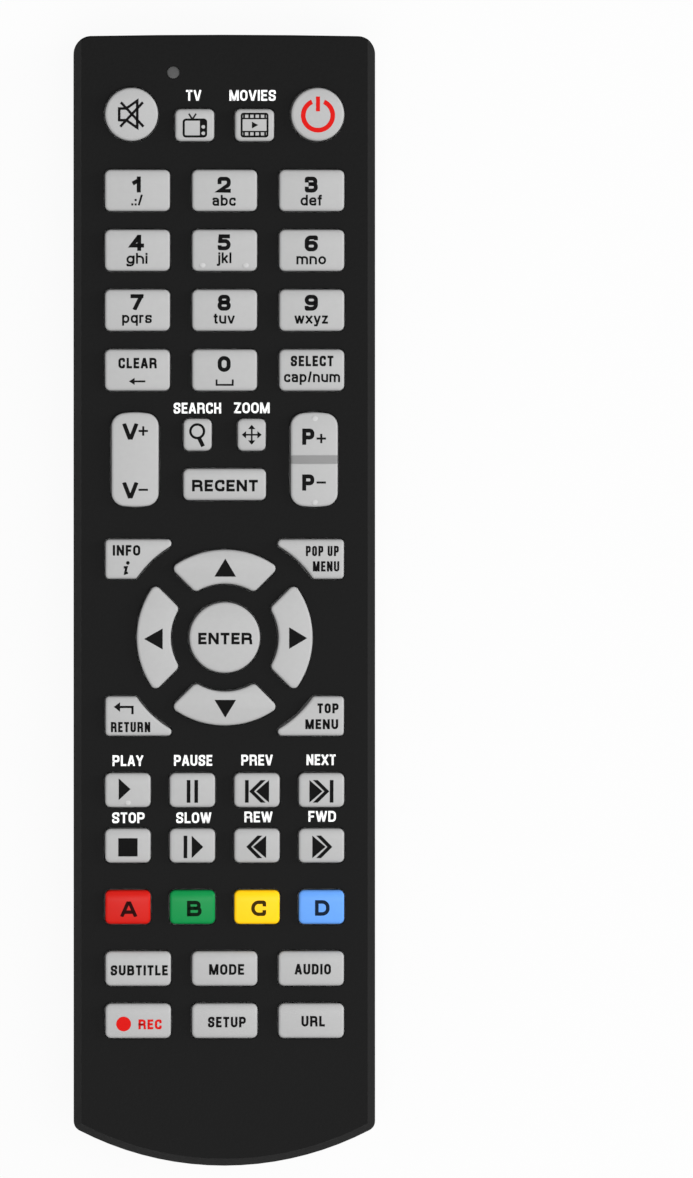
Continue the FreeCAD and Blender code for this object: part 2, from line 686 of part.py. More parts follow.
def softened(points, radius):
    """The points of an outline, with a short arc in place of each corner sharper than a bow's."""
    result = []
    for (ax, ay), (x, y), (bx, by) in zip(points[-1:] + points[:-1], points, points[1:] + points[:1]):
        in_x, in_y = unit(ax - x, ay - y)
        out_x, out_y = unit(bx - x, by - y)
        turn = pi - acos(max(-1.0, min(1.0, in_x * out_x + in_y * out_y)))
        if turn < SHARP_CORNER or radius == 0:
            result.append((x, y))
            continue
        mid_x, mid_y = unit(in_x + out_x, in_y + out_y)
        centre = radius / cos(turn / 2)
        centre_x, centre_y = x + centre * mid_x, y + centre * mid_y
        reach = radius * tan(turn / 2)
        start = atan2(y + reach * in_y - centre_y, x + reach * in_x - centre_x)
        way = 1 if in_x * out_y - in_y * out_x < 0 else -1
        result += arc_points(centre_x, centre_y, radius, start, way * turn, CORNER_STEPS)
    return result


def rectangle_points(x, y, width, length, grow):
    """The corners of a rectangle round a key's middle, anticlockwise."""
    half_x, half_y = width / 2 + grow, length / 2 + grow
    ways = ((-1, -1), (1, -1), (1, 1), (-1, 1))
    return [(x + way_x * half_x, y + way_y * half_y) for way_x, way_y in ways]


def sector_points(quarter, grow, steps):
    """The outline of one arrow key: quarter 0 is up, and they go round to the left."""
    points = []
    for radius, way in ((RING_OUTER_RADIUS + grow, 1), (RING_INNER_RADIUS - grow, -1)):
        half = pi / 4 - asin((RING_SPLIT / 2 - grow) / radius)
        middle = pi / 2 * (1 + quarter)
        points += arc_points(0, RING_Y, radius, middle - way * half, 2 * way * half, steps)
    return points


def corner_points(way_x, way_y, grow, steps):
    """The outline of one key outside the ring, hollowed to follow it."""
    outer_x, outer_y = CORNER_KEY_X + grow, CORNER_KEY_Y + grow
    inner_x = CORNER_KEY_X - CORNER_KEY_WIDTH - grow
    inner_y = CORNER_KEY_Y - CORNER_KEY_LENGTH - grow
    radius = CORNER_KEY_CUT_RADIUS - grow
    start, end = acos(inner_x / radius), asin(inner_y / radius)
    points = [(outer_x, inner_y), (outer_x, outer_y), (inner_x, outer_y)]
    points += arc_points(0, 0, radius, start, end - start, steps)
    points = [(way_x * px, RING_Y + way_y * py) for px, py in points]
    return points if way_x == way_y else points[::-1]


def rocker_points(x, y, grow):
    """The outline of a rocker: straight sides, bowed ends and well rounded corners."""
    radius = ROCKER_END_RADIUS + grow
    half = asin((ROCKER_WIDTH / 2 + grow) / radius)
    centre = ROCKER_LENGTH / 2 + grow - radius
    points = []
    for way in (1, -1):
        points += arc_points(x, y + way * centre, radius, way * pi / 2 - half, 2 * half, CORNER_STEPS)
    return points


def key_top(y, length):
    """The side profile of a key: low at the foot, high near the head, with a sloping shoulder."""
    foot, head = y - length / 2, y + length / 2
    grow = FLANGE_OVERLAP + KEY_GAP
    return across(
        [
            (foot - grow, -BEYOND),
            (head + grow, -BEYOND),
            (head + grow, KEY_HIGH - EDGE_DROP),
            (head, KEY_HIGH - EDGE_DROP),
            (head - SHOULDER_RUN, KEY_HIGH - SHOULDER_DROP),
            (y + KEY_PEAK * length, KEY_HIGH),
            (foot, KEY_LOW),
            (foot - grow, KEY_LOW),
        ],
        BODY_WIDTH,
    )


FLANGE_TOP = -WALL - FLANGE_CLEARANCE
FLANGE_FOOT = FLANGE_TOP - FLANGE_THICKNESS
FLANGE_GROW = KEY_GAP + FLANGE_OVERLAP


def make_key(outline, middle, length, corner=KEY_CORNER_RADIUS, flange=None):
    """A key and the hole for it: outline(grow) gives its points, drawn larger all round by grow."""
    body = upright(polygon(softened(outline(0.0), corner)), FLANGE_FOOT, KEY_HIGH + 1)
    body = body.common(key_top(middle, length))
    hole = upright(polygon(softened(outline(KEY_GAP), corner + KEY_GAP)), -WALL - 1, 1)
    flange = upright(polygon(flange or outline(FLANGE_GROW)), FLANGE_FOOT, FLANGE_TOP)
    return joined(body, flange), hole


def rectangle_key(x, y, width, length):
    """A key with a rectangular face."""
    return make_key(lambda grow: rectangle_points(x, y, width, length, grow), y, length)


def round_key(x, y, diameter):
    """A key with a round face, on an eight-sided flange."""
    body = prism(x, y, FLANGE_FOOT, KEY_HIGH + 1, diameter, KEY_SIDES).common(key_top(y, diameter))
    flange = prism(x, y, FLANGE_FOOT, FLANGE_TOP, diameter + 2 * FLANGE_GROW)
    return joined(body, flange), prism(x, y, -WALL - 1, 1, diameter + 2 * KEY_GAP, KEY_SIDES)


def arrow_key(quarter):
    """An arrow key of the ring."""
    heights = [y for x, y in sector_points(quarter, 0.0, ARC_STEPS)]
    middle, length = (max(heights) + min(heights)) / 2, max(heights) - min(heights)
    flange = sector_points(quarter, FLANGE_GROW, CORNER_STEPS)
    return make_key(lambda grow: sector_points(quarter, grow, ARC_STEPS), middle, length, flange=flange)


def menu_key(way_x, way_y):
    """A key outside the ring: way_x and way_y say on which corner."""
    middle = RING_Y + way_y * (CORNER_KEY_Y - CORNER_KEY_LENGTH / 2)
    flange = corner_points(way_x, way_y, FLANGE_GROW, 1)
    return make_key(
        lambda grow: corner_points(way_x, way_y, grow, CORNER_STEPS),
        middle,
        CORNER_KEY_LENGTH,
        CORNER_KEY_CORNER_RADIUS,
        flange,
    )


def rocker_key(x, y):
    """A long key that tips either way on two ears under the front wall."""
    outline = softened(rocker_points(x, y, 0.0), ROCKER_CORNER_RADIUS)
    body = upright(polygon(outline), FLANGE_FOOT, KEY_HIGH + 1).common(key_top(y, ROCKER_LENGTH))
    half = ROCKER_WIDTH / 2 + ROCKER_GAP + FLANGE_OVERLAP
    top = -WALL - ROCKER_EAR_DROP
    ears = box(x - half, x + half, y - ROCKER_EAR, y + ROCKER_EAR, FLANGE_FOOT, top)
    outline = softened(rocker_points(x, y, ROCKER_GAP), ROCKER_CORNER_RADIUS + ROCKER_GAP)
    return joined(body, ears), upright(polygon(outline), -WALL - 1, 1)


def all_keys():
    """Every key and its hole, by the key's name, in order from the eye end to the tail."""
    keys = {}
    keys["key_mute"] = round_key(-ROUND_X, ROUND_Y, ROUND_DIAMETER)
    keys["key_power"] = round_key(ROUND_X, ROUND_Y, ROUND_DIAMETER)
    keys["key_tv"] = rectangle_key(-SOURCE_X, SOURCE_Y, SOURCE_WIDTH, SOURCE_LENGTH)
    keys["key_movies"] = rectangle_key(SOURCE_X, SOURCE_Y, SOURCE_WIDTH, SOURCE_LENGTH)
    digit_rows = (("1", "2", "3"), ("4", "5", "6"), ("7", "8", "9"), ("clear", "0", "select"))
    for share, names in zip(DIGIT_ROWS, digit_rows):
        for order, name in enumerate(names):
            x = (order - 1) * column(DIGIT_COLUMN)
            keys["key_" + name] = rectangle_key(x, row(share), DIGIT_WIDTH, DIGIT_LENGTH)
    keys["rocker_volume"] = rocker_key(-ROCKER_X, ROCKER_Y)
    keys["rocker_program"] = rocker_key(ROCKER_X, ROCKER_Y)
    keys["key_search"] = rectangle_key(-TOOL_X, TOOL_Y, TOOL_WIDTH, TOOL_LENGTH)
    keys["key_zoom"] = rectangle_key(TOOL_X, TOOL_Y, TOOL_WIDTH, TOOL_LENGTH)
    keys["key_recent"] = rectangle_key(0, RECENT_Y, RECENT_WIDTH, RECENT_LENGTH)
    keys["key_info"] = menu_key(-1, 1)
    keys["key_popup_menu"] = menu_key(1, 1)
    for quarter, name in enumerate(("up", "left", "down", "right")):
        keys["key_" + name] = arrow_key(quarter)
    keys["key_enter"] = round_key(0, RING_Y, ENTER_DIAMETER)
    keys["key_return"] = menu_key(-1, -1)
    keys["key_top_menu"] = menu_key(1, -1)
    outer = column(PLAY_COLUMN)
    play_columns = (-outer, -outer / 3, outer / 3, outer)
    play_rows = (
        ("key_play", "key_pause", "key_previous", "key_next"),
        ("key_stop", "key_slow", "key_rewind", "key_forward"),
        ("key_red", "key_green", "key_yellow", "key_blue"),
    )
    for share, names in zip(PLAY_ROWS, play_rows):
        for x, name in zip(play_columns, names):
            keys[name] = rectangle_key(x, row(share), PLAY_WIDTH, PLAY_LENGTH)
    # The flanges of the four keys round the first screw boss step back from it.
    room = prism(0, SCREWS_Y[0], FLANGE_FOOT, FLANGE_TOP, BOSS_DIAMETER + 2 * KEY_GAP)
    for name in ("key_slow", "key_rewind", "key_green", "key_yellow"):
        body, hole = keys[name]
        keys[name] = (body.cut(room), hole)
    foot_rows = (("subtitle", "mode", "audio"), ("record", "setup", "web"))
    for share, names in zip(FOOT_ROWS, foot_rows):
        for order, name in enumerate(names):
            x = (order - 1) * column(FOOT_COLUMN)
            keys["key_" + name] = rectangle_key(x, row(share), FOOT_WIDTH, FOOT_LENGTH)
    return keys


def bevel_tool():
    """Everything inside the bevels: two planes along the sides, and a cone round the tail."""
    half = HALF_WIDTH + 1
    low = -BEVEL_DEPTH * (1 + 1 / BEVEL_WIDTH)
    points = [(-half, -BEYOND), (half, -BEYOND), (half, low), (HALF_WIDTH - BEVEL_WIDTH, 0)]
    points += [(BEVEL_WIDTH - HALF_WIDTH, 0), (-half, low)]
    loop = [V(x, -BODY_LENGTH, z) for x, z in points]
    sides = Part.Face(Part.makePolygon(loop + loop[:1])).extrude(V(0, 2 * BODY_LENGTH, 0))
    centre = V(0, TAIL_RADIUS - HALF_LENGTH, -BEVEL_DEPTH)
    tail = Part.makeCone(TAIL_RADIUS, TAIL_RADIUS - BEVEL_WIDTH, BEVEL_DEPTH, centre)
    tail = tail.fuse(post(0, centre.y, -BEYOND, -BEVEL_DEPTH, 2 * TAIL_RADIUS))
    straight = -HALF_LENGTH + TAIL_RADIUS / 4
    body = box(-BODY_WIDTH, BODY_WIDTH, straight, BODY_LENGTH, -BEYOND, 0)
    tail = tail.common(box(-BODY_WIDTH, BODY_WIDTH, -BODY_LENGTH, straight, -BEYOND, 0))
    return sides.common(tail.fuse(body))


def front_shell(holes):
    """The front half of the case: a bevelled tray, with a hole for each key, the lens and the eye."""
    tray = upright(body_outline(), -SEAM_DEPTH, 0).common(bevel_tool())
    shell = tray.cut(upright(body_outline(WALL), -SEAM_DEPTH, -WALL))
    bosses = [prism(0, y, -BOARD_DEPTH, -WALL, BOSS_DIAMETER - 2 * KEY_GAP) for y in SCREWS_Y]
    shell = shell.fuse(bosses)
    pilot = SCREW_DIAMETER + SCREW_BITE
    cuts = list(holes) + [eye_tool()]
    end = PILOT_RUN - SCREW_TIP_DEPTH
    cuts += [prism(0, y, -BOARD_DEPTH - 1, end, pilot) for y in SCREWS_Y]
    cuts.append(prism(LENS_X, LENS_Y, -BEYOND, 1, LENS_DIAMETER + 2 * LENS_FIT, ROUND_SIDES))
    shell = shell.cut(cuts).removeSplitter()
    at_eye = HALF_LENGTH - 1
    eye_edge = [e for e in shell.Edges if abs(e.CenterOfMass.z) < 0.01 and e.CenterOfMass.y > at_eye]
    shell = shell.makeChamfer(BEVEL_AT_EYE_END, eye_edge)
    seam = [e for e in shell.Edges if abs(e.CenterOfMass.z + SEAM_DEPTH) < 0.01 and on_outline(e)]
    return shell.makeChamfer(SEAM_CHAMFER, seam)


def light_block(way, place, grow, z0, z1):
    """One backlight, or the room round it."""
    x, y = way * place[0], place[1]
    half_x, half_y = LIGHT_WIDTH / 2 + grow, LIGHT_LENGTH / 2 + grow
    return box(x - half_x, x + half_x, y - half_y, y + half_y, z0, z1)


def backlights(grow, z0, z1):
    """All the backlights, in mirrored pairs."""
    return [light_block(way, place, grow, z0, z1) for way in (-1, 1) for place in LIGHT_PLACES]


def board_notch(z0, z1):
    """The notch in the board and the mat that makes room for the infrared emitter."""
    half = BOARD_NOTCH_WIDTH / 2
    back = HALF_LENGTH - EMITTER_SETBACK - EMITTER_LENGTH - LEAD_SIZE / 2
    return box(-half, half, back, HALF_LENGTH, z0, z1)


def circuit_board():
    """The board, with its screw holes and its notch."""
    foot = -BOARD_DEPTH - BOARD_THICKNESS
    board = upright(body_outline(BOARD_INSET), foot, -BOARD_DEPTH)
    cuts = [board_notch(foot, -BOARD_DEPTH)]
    cuts += [prism(0, y, foot, -BOARD_DEPTH, SCREW_DIAMETER + 2 * SCREW_CLEARANCE) for y in SCREWS_Y]
    return board.cut(cuts)


def keypad_mat():
    """The rubber sheet on the board that the keys press on, open over each light."""
    foot, top = -BOARD_DEPTH, MAT_THICKNESS - BOARD_DEPTH
    sheet = upright(body_outline(MAT_INSET), foot, top)
    cuts = backlights(LIGHT_ROOM, foot, top)
    half = BOSS_DIAMETER / 2 + LIGHT_ROOM
    cuts += [box(-half, half, y - half, y + half, foot, top) for y in SCREWS_Y]
    half = LENS_DIAMETER / 2 + LIGHT_ROOM
    cuts.append(box(LENS_X - half, LENS_X + half, LENS_Y - half, LENS_Y + half, foot, top))
    cuts.append(board_notch(foot, top))
    return sheet.cut(cuts)


def board_components():
    """What is soldered to the board: processor, driver, crystal, capacitor, switch and lights."""
    back = -BOARD_DEPTH - BOARD_THICKNESS
    pieces = backlights(0, -BOARD_DEPTH, LIGHT_HEIGHT - BOARD_DEPTH)
    half = LIGHT_LENGTH / 2
    top = MAT_THICKNESS - BOARD_DEPTH
    pieces.append(box(LENS_X - half, LENS_X + half, LENS_Y - half, LENS_Y + half, -BOARD_DEPTH, top))
    for x, from_eye_end, width, length, height in CHIPS:
        y = HALF_LENGTH - from_eye_end
        half_x, half_y = width / 2, length / 2
        pieces.append(box(x - half_x, x + half_x, y - half_y, y + half_y, back - height, back))
    side = SWITCH_SIZE / 2
    switch = box(-side, side, BUTTON_Y - side, BUTTON_Y + side, back - SWITCH_HEIGHT, back)
    foot = back - SWITCH_HEIGHT - SWITCH_PLUNGER
    plunger = prism(0, BUTTON_Y, foot, back - SWITCH_HEIGHT, SWITCH_PLUNGER_DIAMETER)
    pieces.append(joined(switch, plunger))
    return Part.makeCompound(pieces)


def back_button():
    """The oval button behind, with a domed back, a flange inside the hump and a long stem."""
    surface = crest_depth(BUTTON_Y)
    centre = surface + BUTTON_PROUD - BUTTON_DOME_RADIUS
    along = V(1, 0, 0)
    start = V(-BUTTON_WIDTH / 2, BUTTON_Y, -centre)
    dome = Part.makeCylinder(BUTTON_DOME_RADIUS, BUTTON_WIDTH, start, along)
    low = surface + BUTTON_PROUD - BUTTON_CROWN_RADIUS
    start = V(0, BUTTON_Y - BUTTON_LENGTH, -low)
    crown = Part.makeCylinder(BUTTON_CROWN_RADIUS, 2 * BUTTON_LENGTH, start, V(0, 1, 0))
    far = surface - WALL - BUTTON_FLANGE_CLEARANCE
    near = far - BUTTON_FLANGE_THICKNESS
    block = stadium(BUTTON_WIDTH, BUTTON_LENGTH, 0, BUTTON_Y, -BEYOND, -far)
    cap = dome.common(crown).common(block)
    grow = 2 * (BUTTON_GAP + BUTTON_FLANGE)
    steps = POST_SIDES // 2
    flange = stadium(BUTTON_WIDTH + grow, BUTTON_LENGTH + grow, 0, BUTTON_Y, -far, -near, steps)
    switch = BOARD_DEPTH + BOARD_THICKNESS + SWITCH_HEIGHT + SWITCH_PLUNGER
    tip = -switch - STEM_GAP - BUTTON_TRAVEL
    return joined(cap, flange, prism(0, BUTTON_Y, -near, tip, STEM_DIAMETER))


def ir_emitter():
    """The round infrared light behind the eye, with its two leads on the back of the board."""
    radius = EMITTER_DIAMETER / 2
    back = HALF_LENGTH - EMITTER_SETBACK - EMITTER_LENGTH
    straight = EMITTER_LENGTH - radius
    body = prism(0, 0, 0, straight, EMITTER_DIAMETER, ROUND_SIDES)
    dome = prism(0, 0, straight, EMITTER_LENGTH - radius / 4, 2 * radius * cos(radians(30)), ROUND_SIDES)
    tip = prism(0, 0, straight, EMITTER_LENGTH, radius, ROUND_SIDES)
    bulb = lying(joined(body, dome, tip), 0, back, -SEAM_DEPTH, 1)
    top = -BOARD_DEPTH - BOARD_THICKNESS
    half = LEAD_SIZE / 2
    leads = []
    for x in (-LEAD_PITCH / 2, LEAD_PITCH / 2):
        leads.append(box(x - half, x + half, back - LEAD_LENGTH, back + half, top - LEAD_SIZE, top))
    return joined(bulb, *leads)


def indicator_lens():
    """The small light pipe in the front face."""
    foot = -WALL - LENS_FLANGE
    pipe = prism(LENS_X, LENS_Y, foot, -LENS_RECESS, LENS_DIAMETER, ROUND_SIDES)
    rim = prism(LENS_X, LENS_Y, foot, -WALL, LENS_DIAMETER + 2 * LENS_FLANGE)
    return joined(pipe, rim)


def cell(side, way):
    """One battery: way is 1 where its nub points to the eye end."""
    body = prism(0, 0, 0, CELL_BODY, CELL_DIAMETER, ROUND_SIDES)
    nub = prism(0, 0, CELL_BODY, CELL_BODY + CELL_NUB_LENGTH, CELL_NUB_DIAMETER, POST_SIDES)
    foot = CELLS_Y - way * CELL_LENGTH / 2
    return lying(joined(body, nub), side * CELL_PITCH / 2, foot, -CELL_DEPTH, way)


def batteries():
    """Two cells side by side, head to tail."""
    return Part.makeCompound([cell(-1, 1), cell(1, -1)])


def terminal(x, width, way):
    """A sprung strip on a tub wall: way is 1 at the eye end. Its tongue bows towards the cells."""
    wall = TUB_HEAD if way > 0 else TUB_TAIL
    reach = abs(wall - CELLS_Y) - CELL_LENGTH / 2
    rise, half = TERMINAL_HEIGHT / 2, TERMINAL_TONGUE / 2
    plate = box(0, width, 0, TERMINAL_THICKNESS, -rise, rise)
    outer = [V(0, TERMINAL_THICKNESS, -half), V(0, reach, 0), V(0, TERMINAL_THICKNESS, half)]
    outer.append(outer[0])
    tongue = Part.Face(Part.makePolygon(outer)).extrude(V(width, 0, 0))
    inner = [V(0, 0, TERMINAL_THICKNESS - half), V(0, reach - TONGUE_TIP, 0)]
    inner += [V(0, 0, half - TERMINAL_THICKNESS)]
    inner.append(inner[0])
    slot = Part.Face(Part.makePolygon(inner)).extrude(V(width, 0, 0))
    strip = plate.fuse(tongue).cut(slot).removeSplitter()
    strip.translate(V(-width / 2, 0, 0))
    if way > 0:
        strip.rotate(V(0, 0, 0), V(0, 0, 1), 180)
    strip.translate(V(x, wall, -CELL_DEPTH))
    return strip


def battery_terminals():
    """Two single contacts at the eye end, and one bridge across both cells at the tail."""
    half = CELL_PITCH / 2
    strips = [terminal(-half, TERMINAL_WIDTH, 1), terminal(half, TERMINAL_WIDTH, 1)]
    strips.append(terminal(0, CELL_PITCH + TERMINAL_WIDTH, -1))
    return Part.makeCompound(strips)


def case_screws():
    """The two screws in the floor of the battery tub."""
    pieces = []
    for y in SCREWS_Y:
        seat = -TUB_FLOOR_DEPTH + SCREW_HEAD_HEIGHT
        head = prism(0, y, -TUB_FLOOR_DEPTH, seat, SCREW_HEAD_DIAMETER)
        shank = prism(0, y, seat, -SCREW_TIP_DEPTH, SCREW_DIAMETER)
        pieces.append(joined(head, shank))
    return Part.makeCompound(pieces)


def rest_tilt():
    """The angle at which the rear button and the last thumb rib touch the table together."""
    last = COVER_START + FIRST_RIB + (RIB_COUNT - 1) * RIB_PITCH
    rib_centre = crest_depth(HALF_LENGTH - last) - RIB_RADIUS + RIB_HEIGHT
    dome_centre = crest_depth(BUTTON_Y) + BUTTON_PROUD - BUTTON_DOME_RADIUS
    run = last - BUTTON_FROM_EYE_END
    rise = rib_centre - dome_centre
    # A line that touches two circles leans a little more than the line through their centres.
    return degrees(atan(rise / run) - asin((BUTTON_DOME_RADIUS - RIB_RADIUS) / hypot(run, rise)))


def main():
    keys = all_keys()
    nodes = {
        "front_shell": front_shell([hole for body, hole in keys.values()]),
        "rear_shell": rear_shell(),
        "battery_cover": battery_cover(),
        "back_button": back_button(),
        "circuit_board": circuit_board(),
        "keypad_mat": keypad_mat(),
        "board_components": board_components(),
        "ir_emitter": ir_emitter(),
        "indicator_lens": indicator_lens(),
        "batteries": batteries(),
        "battery_terminals": battery_terminals(),
        "case_screws": case_screws(),
    }
    nodes.update({name: body for name, (body, hole) in keys.items()})

    tilt = rest_tilt()
    for shape in nodes.values():
        shape.rotate(V(0, 0, 0), V(1, 0, 0), -tilt)
    bounds = Part.makeCompound(list(nodes.values())).optimalBoundingBox(False, False)
    shift = V(-(bounds.XMin + bounds.XMax) / 2, -(bounds.YMin + bounds.YMax) / 2, -bounds.ZMin)
    os.makedirs("parts", exist_ok=True)
    for name, shape in nodes.items():
        shape.translate(shift)
        print(name, "solids", len(shape.Solids), "valid", shape.isValid(), "mm3", round(shape.Volume, 1))
        shape.exportStep("parts/" + name + ".step")
    print("tilt", tilt, "shift", shift.x, shift.y, shift.z)


main()
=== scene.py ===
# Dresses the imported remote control: smooth translucent keys with their legends, moulded black
# plastic, and the details behind the infrared eye. Lengths are in millimetres in the part's own
# datum (z = 0 on the front face, +Y to the infrared end) and become metres when a mesh is made.
import json
from math import acos, asin, atan2, cos, dist, hypot, pi, radians, sin, sqrt, tan

import bmesh
import bpy
from mathutils import Matrix, Vector


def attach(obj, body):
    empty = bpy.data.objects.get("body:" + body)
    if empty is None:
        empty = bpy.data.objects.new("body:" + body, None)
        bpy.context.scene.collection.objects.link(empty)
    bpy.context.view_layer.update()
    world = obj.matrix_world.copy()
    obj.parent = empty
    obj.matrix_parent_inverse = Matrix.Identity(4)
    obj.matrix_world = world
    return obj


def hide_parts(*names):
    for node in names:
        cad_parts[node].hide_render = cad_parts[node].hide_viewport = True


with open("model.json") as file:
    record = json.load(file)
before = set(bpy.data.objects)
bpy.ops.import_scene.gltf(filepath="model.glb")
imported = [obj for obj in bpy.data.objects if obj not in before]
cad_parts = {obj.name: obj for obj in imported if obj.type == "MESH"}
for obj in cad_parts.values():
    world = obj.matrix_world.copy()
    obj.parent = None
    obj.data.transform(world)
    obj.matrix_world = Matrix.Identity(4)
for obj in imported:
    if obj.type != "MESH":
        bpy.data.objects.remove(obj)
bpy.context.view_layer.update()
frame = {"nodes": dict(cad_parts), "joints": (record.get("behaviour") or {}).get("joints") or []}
NODES = frame["nodes"]
JOINTS = {joint["name"]: joint for joint in frame["joints"]}

MM_PER_M = 1000

# The same sizes as in the part's source
BODY_LENGTH = 210.0
HALF_LENGTH = BODY_LENGTH / 2
KEY_CORNER_RADIUS = 1.0
KEY_LOW = 1.0
KEY_HIGH = 2.1
KEY_PEAK = 0.74
KEY_BEND = 0.35
KEY_FALL = 0.42
KEY_FOOT = -2.6
DIGIT = (12.0, 7.6)
DIGIT_NAMES = ("1 2 3", "4 5 6", "7 8 9", "clear 0 select")
DIGIT_COLUMNS = (-16.156, 0.0, 16.156)
DIGIT_ROW = 76.1
DIGIT_ROW_PITCH = 11.1
ROUND_DIAMETER = 9.8
ROUND_X, ROUND_Y = 17.248, 90.2
SOURCE = (7.2, 5.9)
SOURCE_X, SOURCE_Y = 5.544, 88.2
TOOL = (5.2, 5.9)
TOOL_X, TOOL_Y = 5.012, 30.8
RECENT = (15.3, 5.8)
RECENT_Y = 21.6
ROCKER_WIDTH, ROCKER_LENGTH = 8.7, 17.5
ROCKER_X, ROCKER_Y = 16.604, 26.2
ROCKER_END_RADIUS = 16.0
ROCKER_CORNER_RADIUS = 2.4
ROCKER_PIVOT_Z = -1.0
RING_Y = -6.8
RING_INNER_RADIUS, RING_OUTER_RADIUS = 10.0, 16.3
RING_SPLIT = 4.2
ENTER_DIAMETER = 13.1
CORNER_KEYS = (("info", -1, 1), ("popup_menu", 1, 1), ("return", -1, -1), ("top_menu", 1, -1))
CORNER_KEY_X, CORNER_KEY_Y = 22.092, 18.2
CORNER_KEY_WIDTH, CORNER_KEY_LENGTH = 12.2, 7.3
CORNER_KEY_CUT_RADIUS = 19.7
CORNER_KEY_CORNER_RADIUS = 0.7
PLAY = (8.4, 6.3)
PLAY_NAMES = ("play pause previous next", "stop slow rewind forward", "red green yellow blue")
PLAY_COLUMNS = (-17.948, -5.983, 5.983, 17.948)
PLAY_ROWS = (-35.1, -45.4, -56.8)
FOOT = (12.1, 6.4)
FOOT_NAMES = ("subtitle mode audio", "record setup web")
FOOT_COLUMNS = (-16.044, 0.0, 16.044)
FOOT_ROWS = (-68.2, -77.9)

# How finely the keys are drawn, and their edges
SHARP_TURN = radians(40)
CORNER_STEPS = 6
ARC_STEPS = 24
CIRCLE_STEPS = 64
ROCKER_CORNER_STEPS = 10
ROCKER_END_STEPS = 16
EDGE_RADIUS = 0.5
EDGE_STEPS = 5
LEAST_CORNER = 0.2
TOP_BANDS = 14
# Marks the ring that becomes a key's foot
BOTTOM_MARK = -50.0
CLOSE = 0.01

# The program rocker has a finger bar across its middle: a shallow recess whose top gets a darker grey as
# painted shade
BANDED = ("rocker_program",)
BAND_HALF = 0.75
BAND_SLOPE = 0.12
BAND_DEPTH = 0.14

# The datum's place in the row frame, from a key's press axis and a rocker's pivot
lift = -Vector(JOINTS["press_key_5"]["axis"])
along = Vector((0, lift.z, -lift.y))
DATUM = Matrix((
    (1 / MM_PER_M, 0, 0, 0),
    (0, along.y / MM_PER_M, lift.y / MM_PER_M, 0),
    (0, along.z / MM_PER_M, lift.z / MM_PER_M, 0),
    (0, 0, 0, 1),
))
pivot = DATUM @ Vector((-ROCKER_X, ROCKER_Y, ROCKER_PIVOT_Z))
DATUM.translation = Vector(JOINTS["tip_rocker_volume"]["pos_m"]) - pivot


# Outlines of the keys. The last value of each shape is how much it grows.
def unit(x, y):
    size = hypot(x, y)
    return x / size, y / size


def arc_points(x, y, radius, start, turn, steps):
    angles = [start + turn * step / steps for step in range(steps + 1)]
    return [(x + radius * cos(angle), y + radius * sin(angle)) for angle in angles]


def turn_at(before, here, after):
    """The ways from a corner to its two neighbours, and how far a path turns there."""
    ways = unit(before[0] - here[0], before[1] - here[1]), unit(after[0] - here[0], after[1] - here[1])
    (in_x, in_y), (out_x, out_y) = ways
    return ways, pi - acos(max(-1.0, min(1.0, in_x * out_x + in_y * out_y)))


def corner_arc(here, ways, turn, radius, steps):
    """The arc that takes a corner's place."""
    x, y = here
    (in_x, in_y), (out_x, out_y) = ways
    mid_x, mid_y = unit(in_x + out_x, in_y + out_y)
    centre = radius / cos(turn / 2)
    centre_x, centre_y = x + centre * mid_x, y + centre * mid_y
    reach = radius * tan(turn / 2)
    start = atan2(y + reach * in_y - centre_y, x + reach * in_x - centre_x)
    way = 1 if in_x * out_y - in_y * out_x < 0 else -1
    return arc_points(centre_x, centre_y, radius, start, way * turn, steps)


def softened(points, radius):
    """The outline with an arc in place of each sharp corner."""
    result = []
    for before, here, after in zip(points[-1:] + points[:-1], points, points[1:] + points[:1]):
        ways, turn = turn_at(before, here, after)
        sharp = turn >= SHARP_TURN
        result += corner_arc(here, ways, turn, radius, CORNER_STEPS) if sharp else [here]
    return result


def rectangle(x, y, width, length, grow):
    ways = ((-1, -1), (1, -1), (1, 1), (-1, 1))
    return [(x + way_x * (width / 2 + grow), y + way_y * (length / 2 + grow)) for way_x, way_y in ways]


def sector(quarter, grow):
    points = []
    for radius, way in ((RING_OUTER_RADIUS + grow, 1), (RING_INNER_RADIUS - grow, -1)):
        half = pi / 4 - asin((RING_SPLIT / 2 - grow) / radius)
        middle = pi / 2 * (1 + quarter)
        points += arc_points(0, RING_Y, radius, middle - way * half, 2 * way * half, ARC_STEPS)
    return points


def corner(way_x, way_y, grow):
    outer_x, outer_y = CORNER_KEY_X + grow, CORNER_KEY_Y + grow
    inner_x = CORNER_KEY_X - CORNER_KEY_WIDTH - grow
    inner_y = CORNER_KEY_Y - CORNER_KEY_LENGTH - grow
    radius = CORNER_KEY_CUT_RADIUS - grow
    start, end = acos(inner_x / radius), asin(inner_y / radius)
    points = [(outer_x, inner_y), (outer_x, outer_y), (inner_x, outer_y)]
    points += arc_points(0, 0, radius, start, end - start, ARC_STEPS)
    points = [(way_x * px, RING_Y + way_y * py) for px, py in points]
    return points if way_x == way_y else points[::-1]


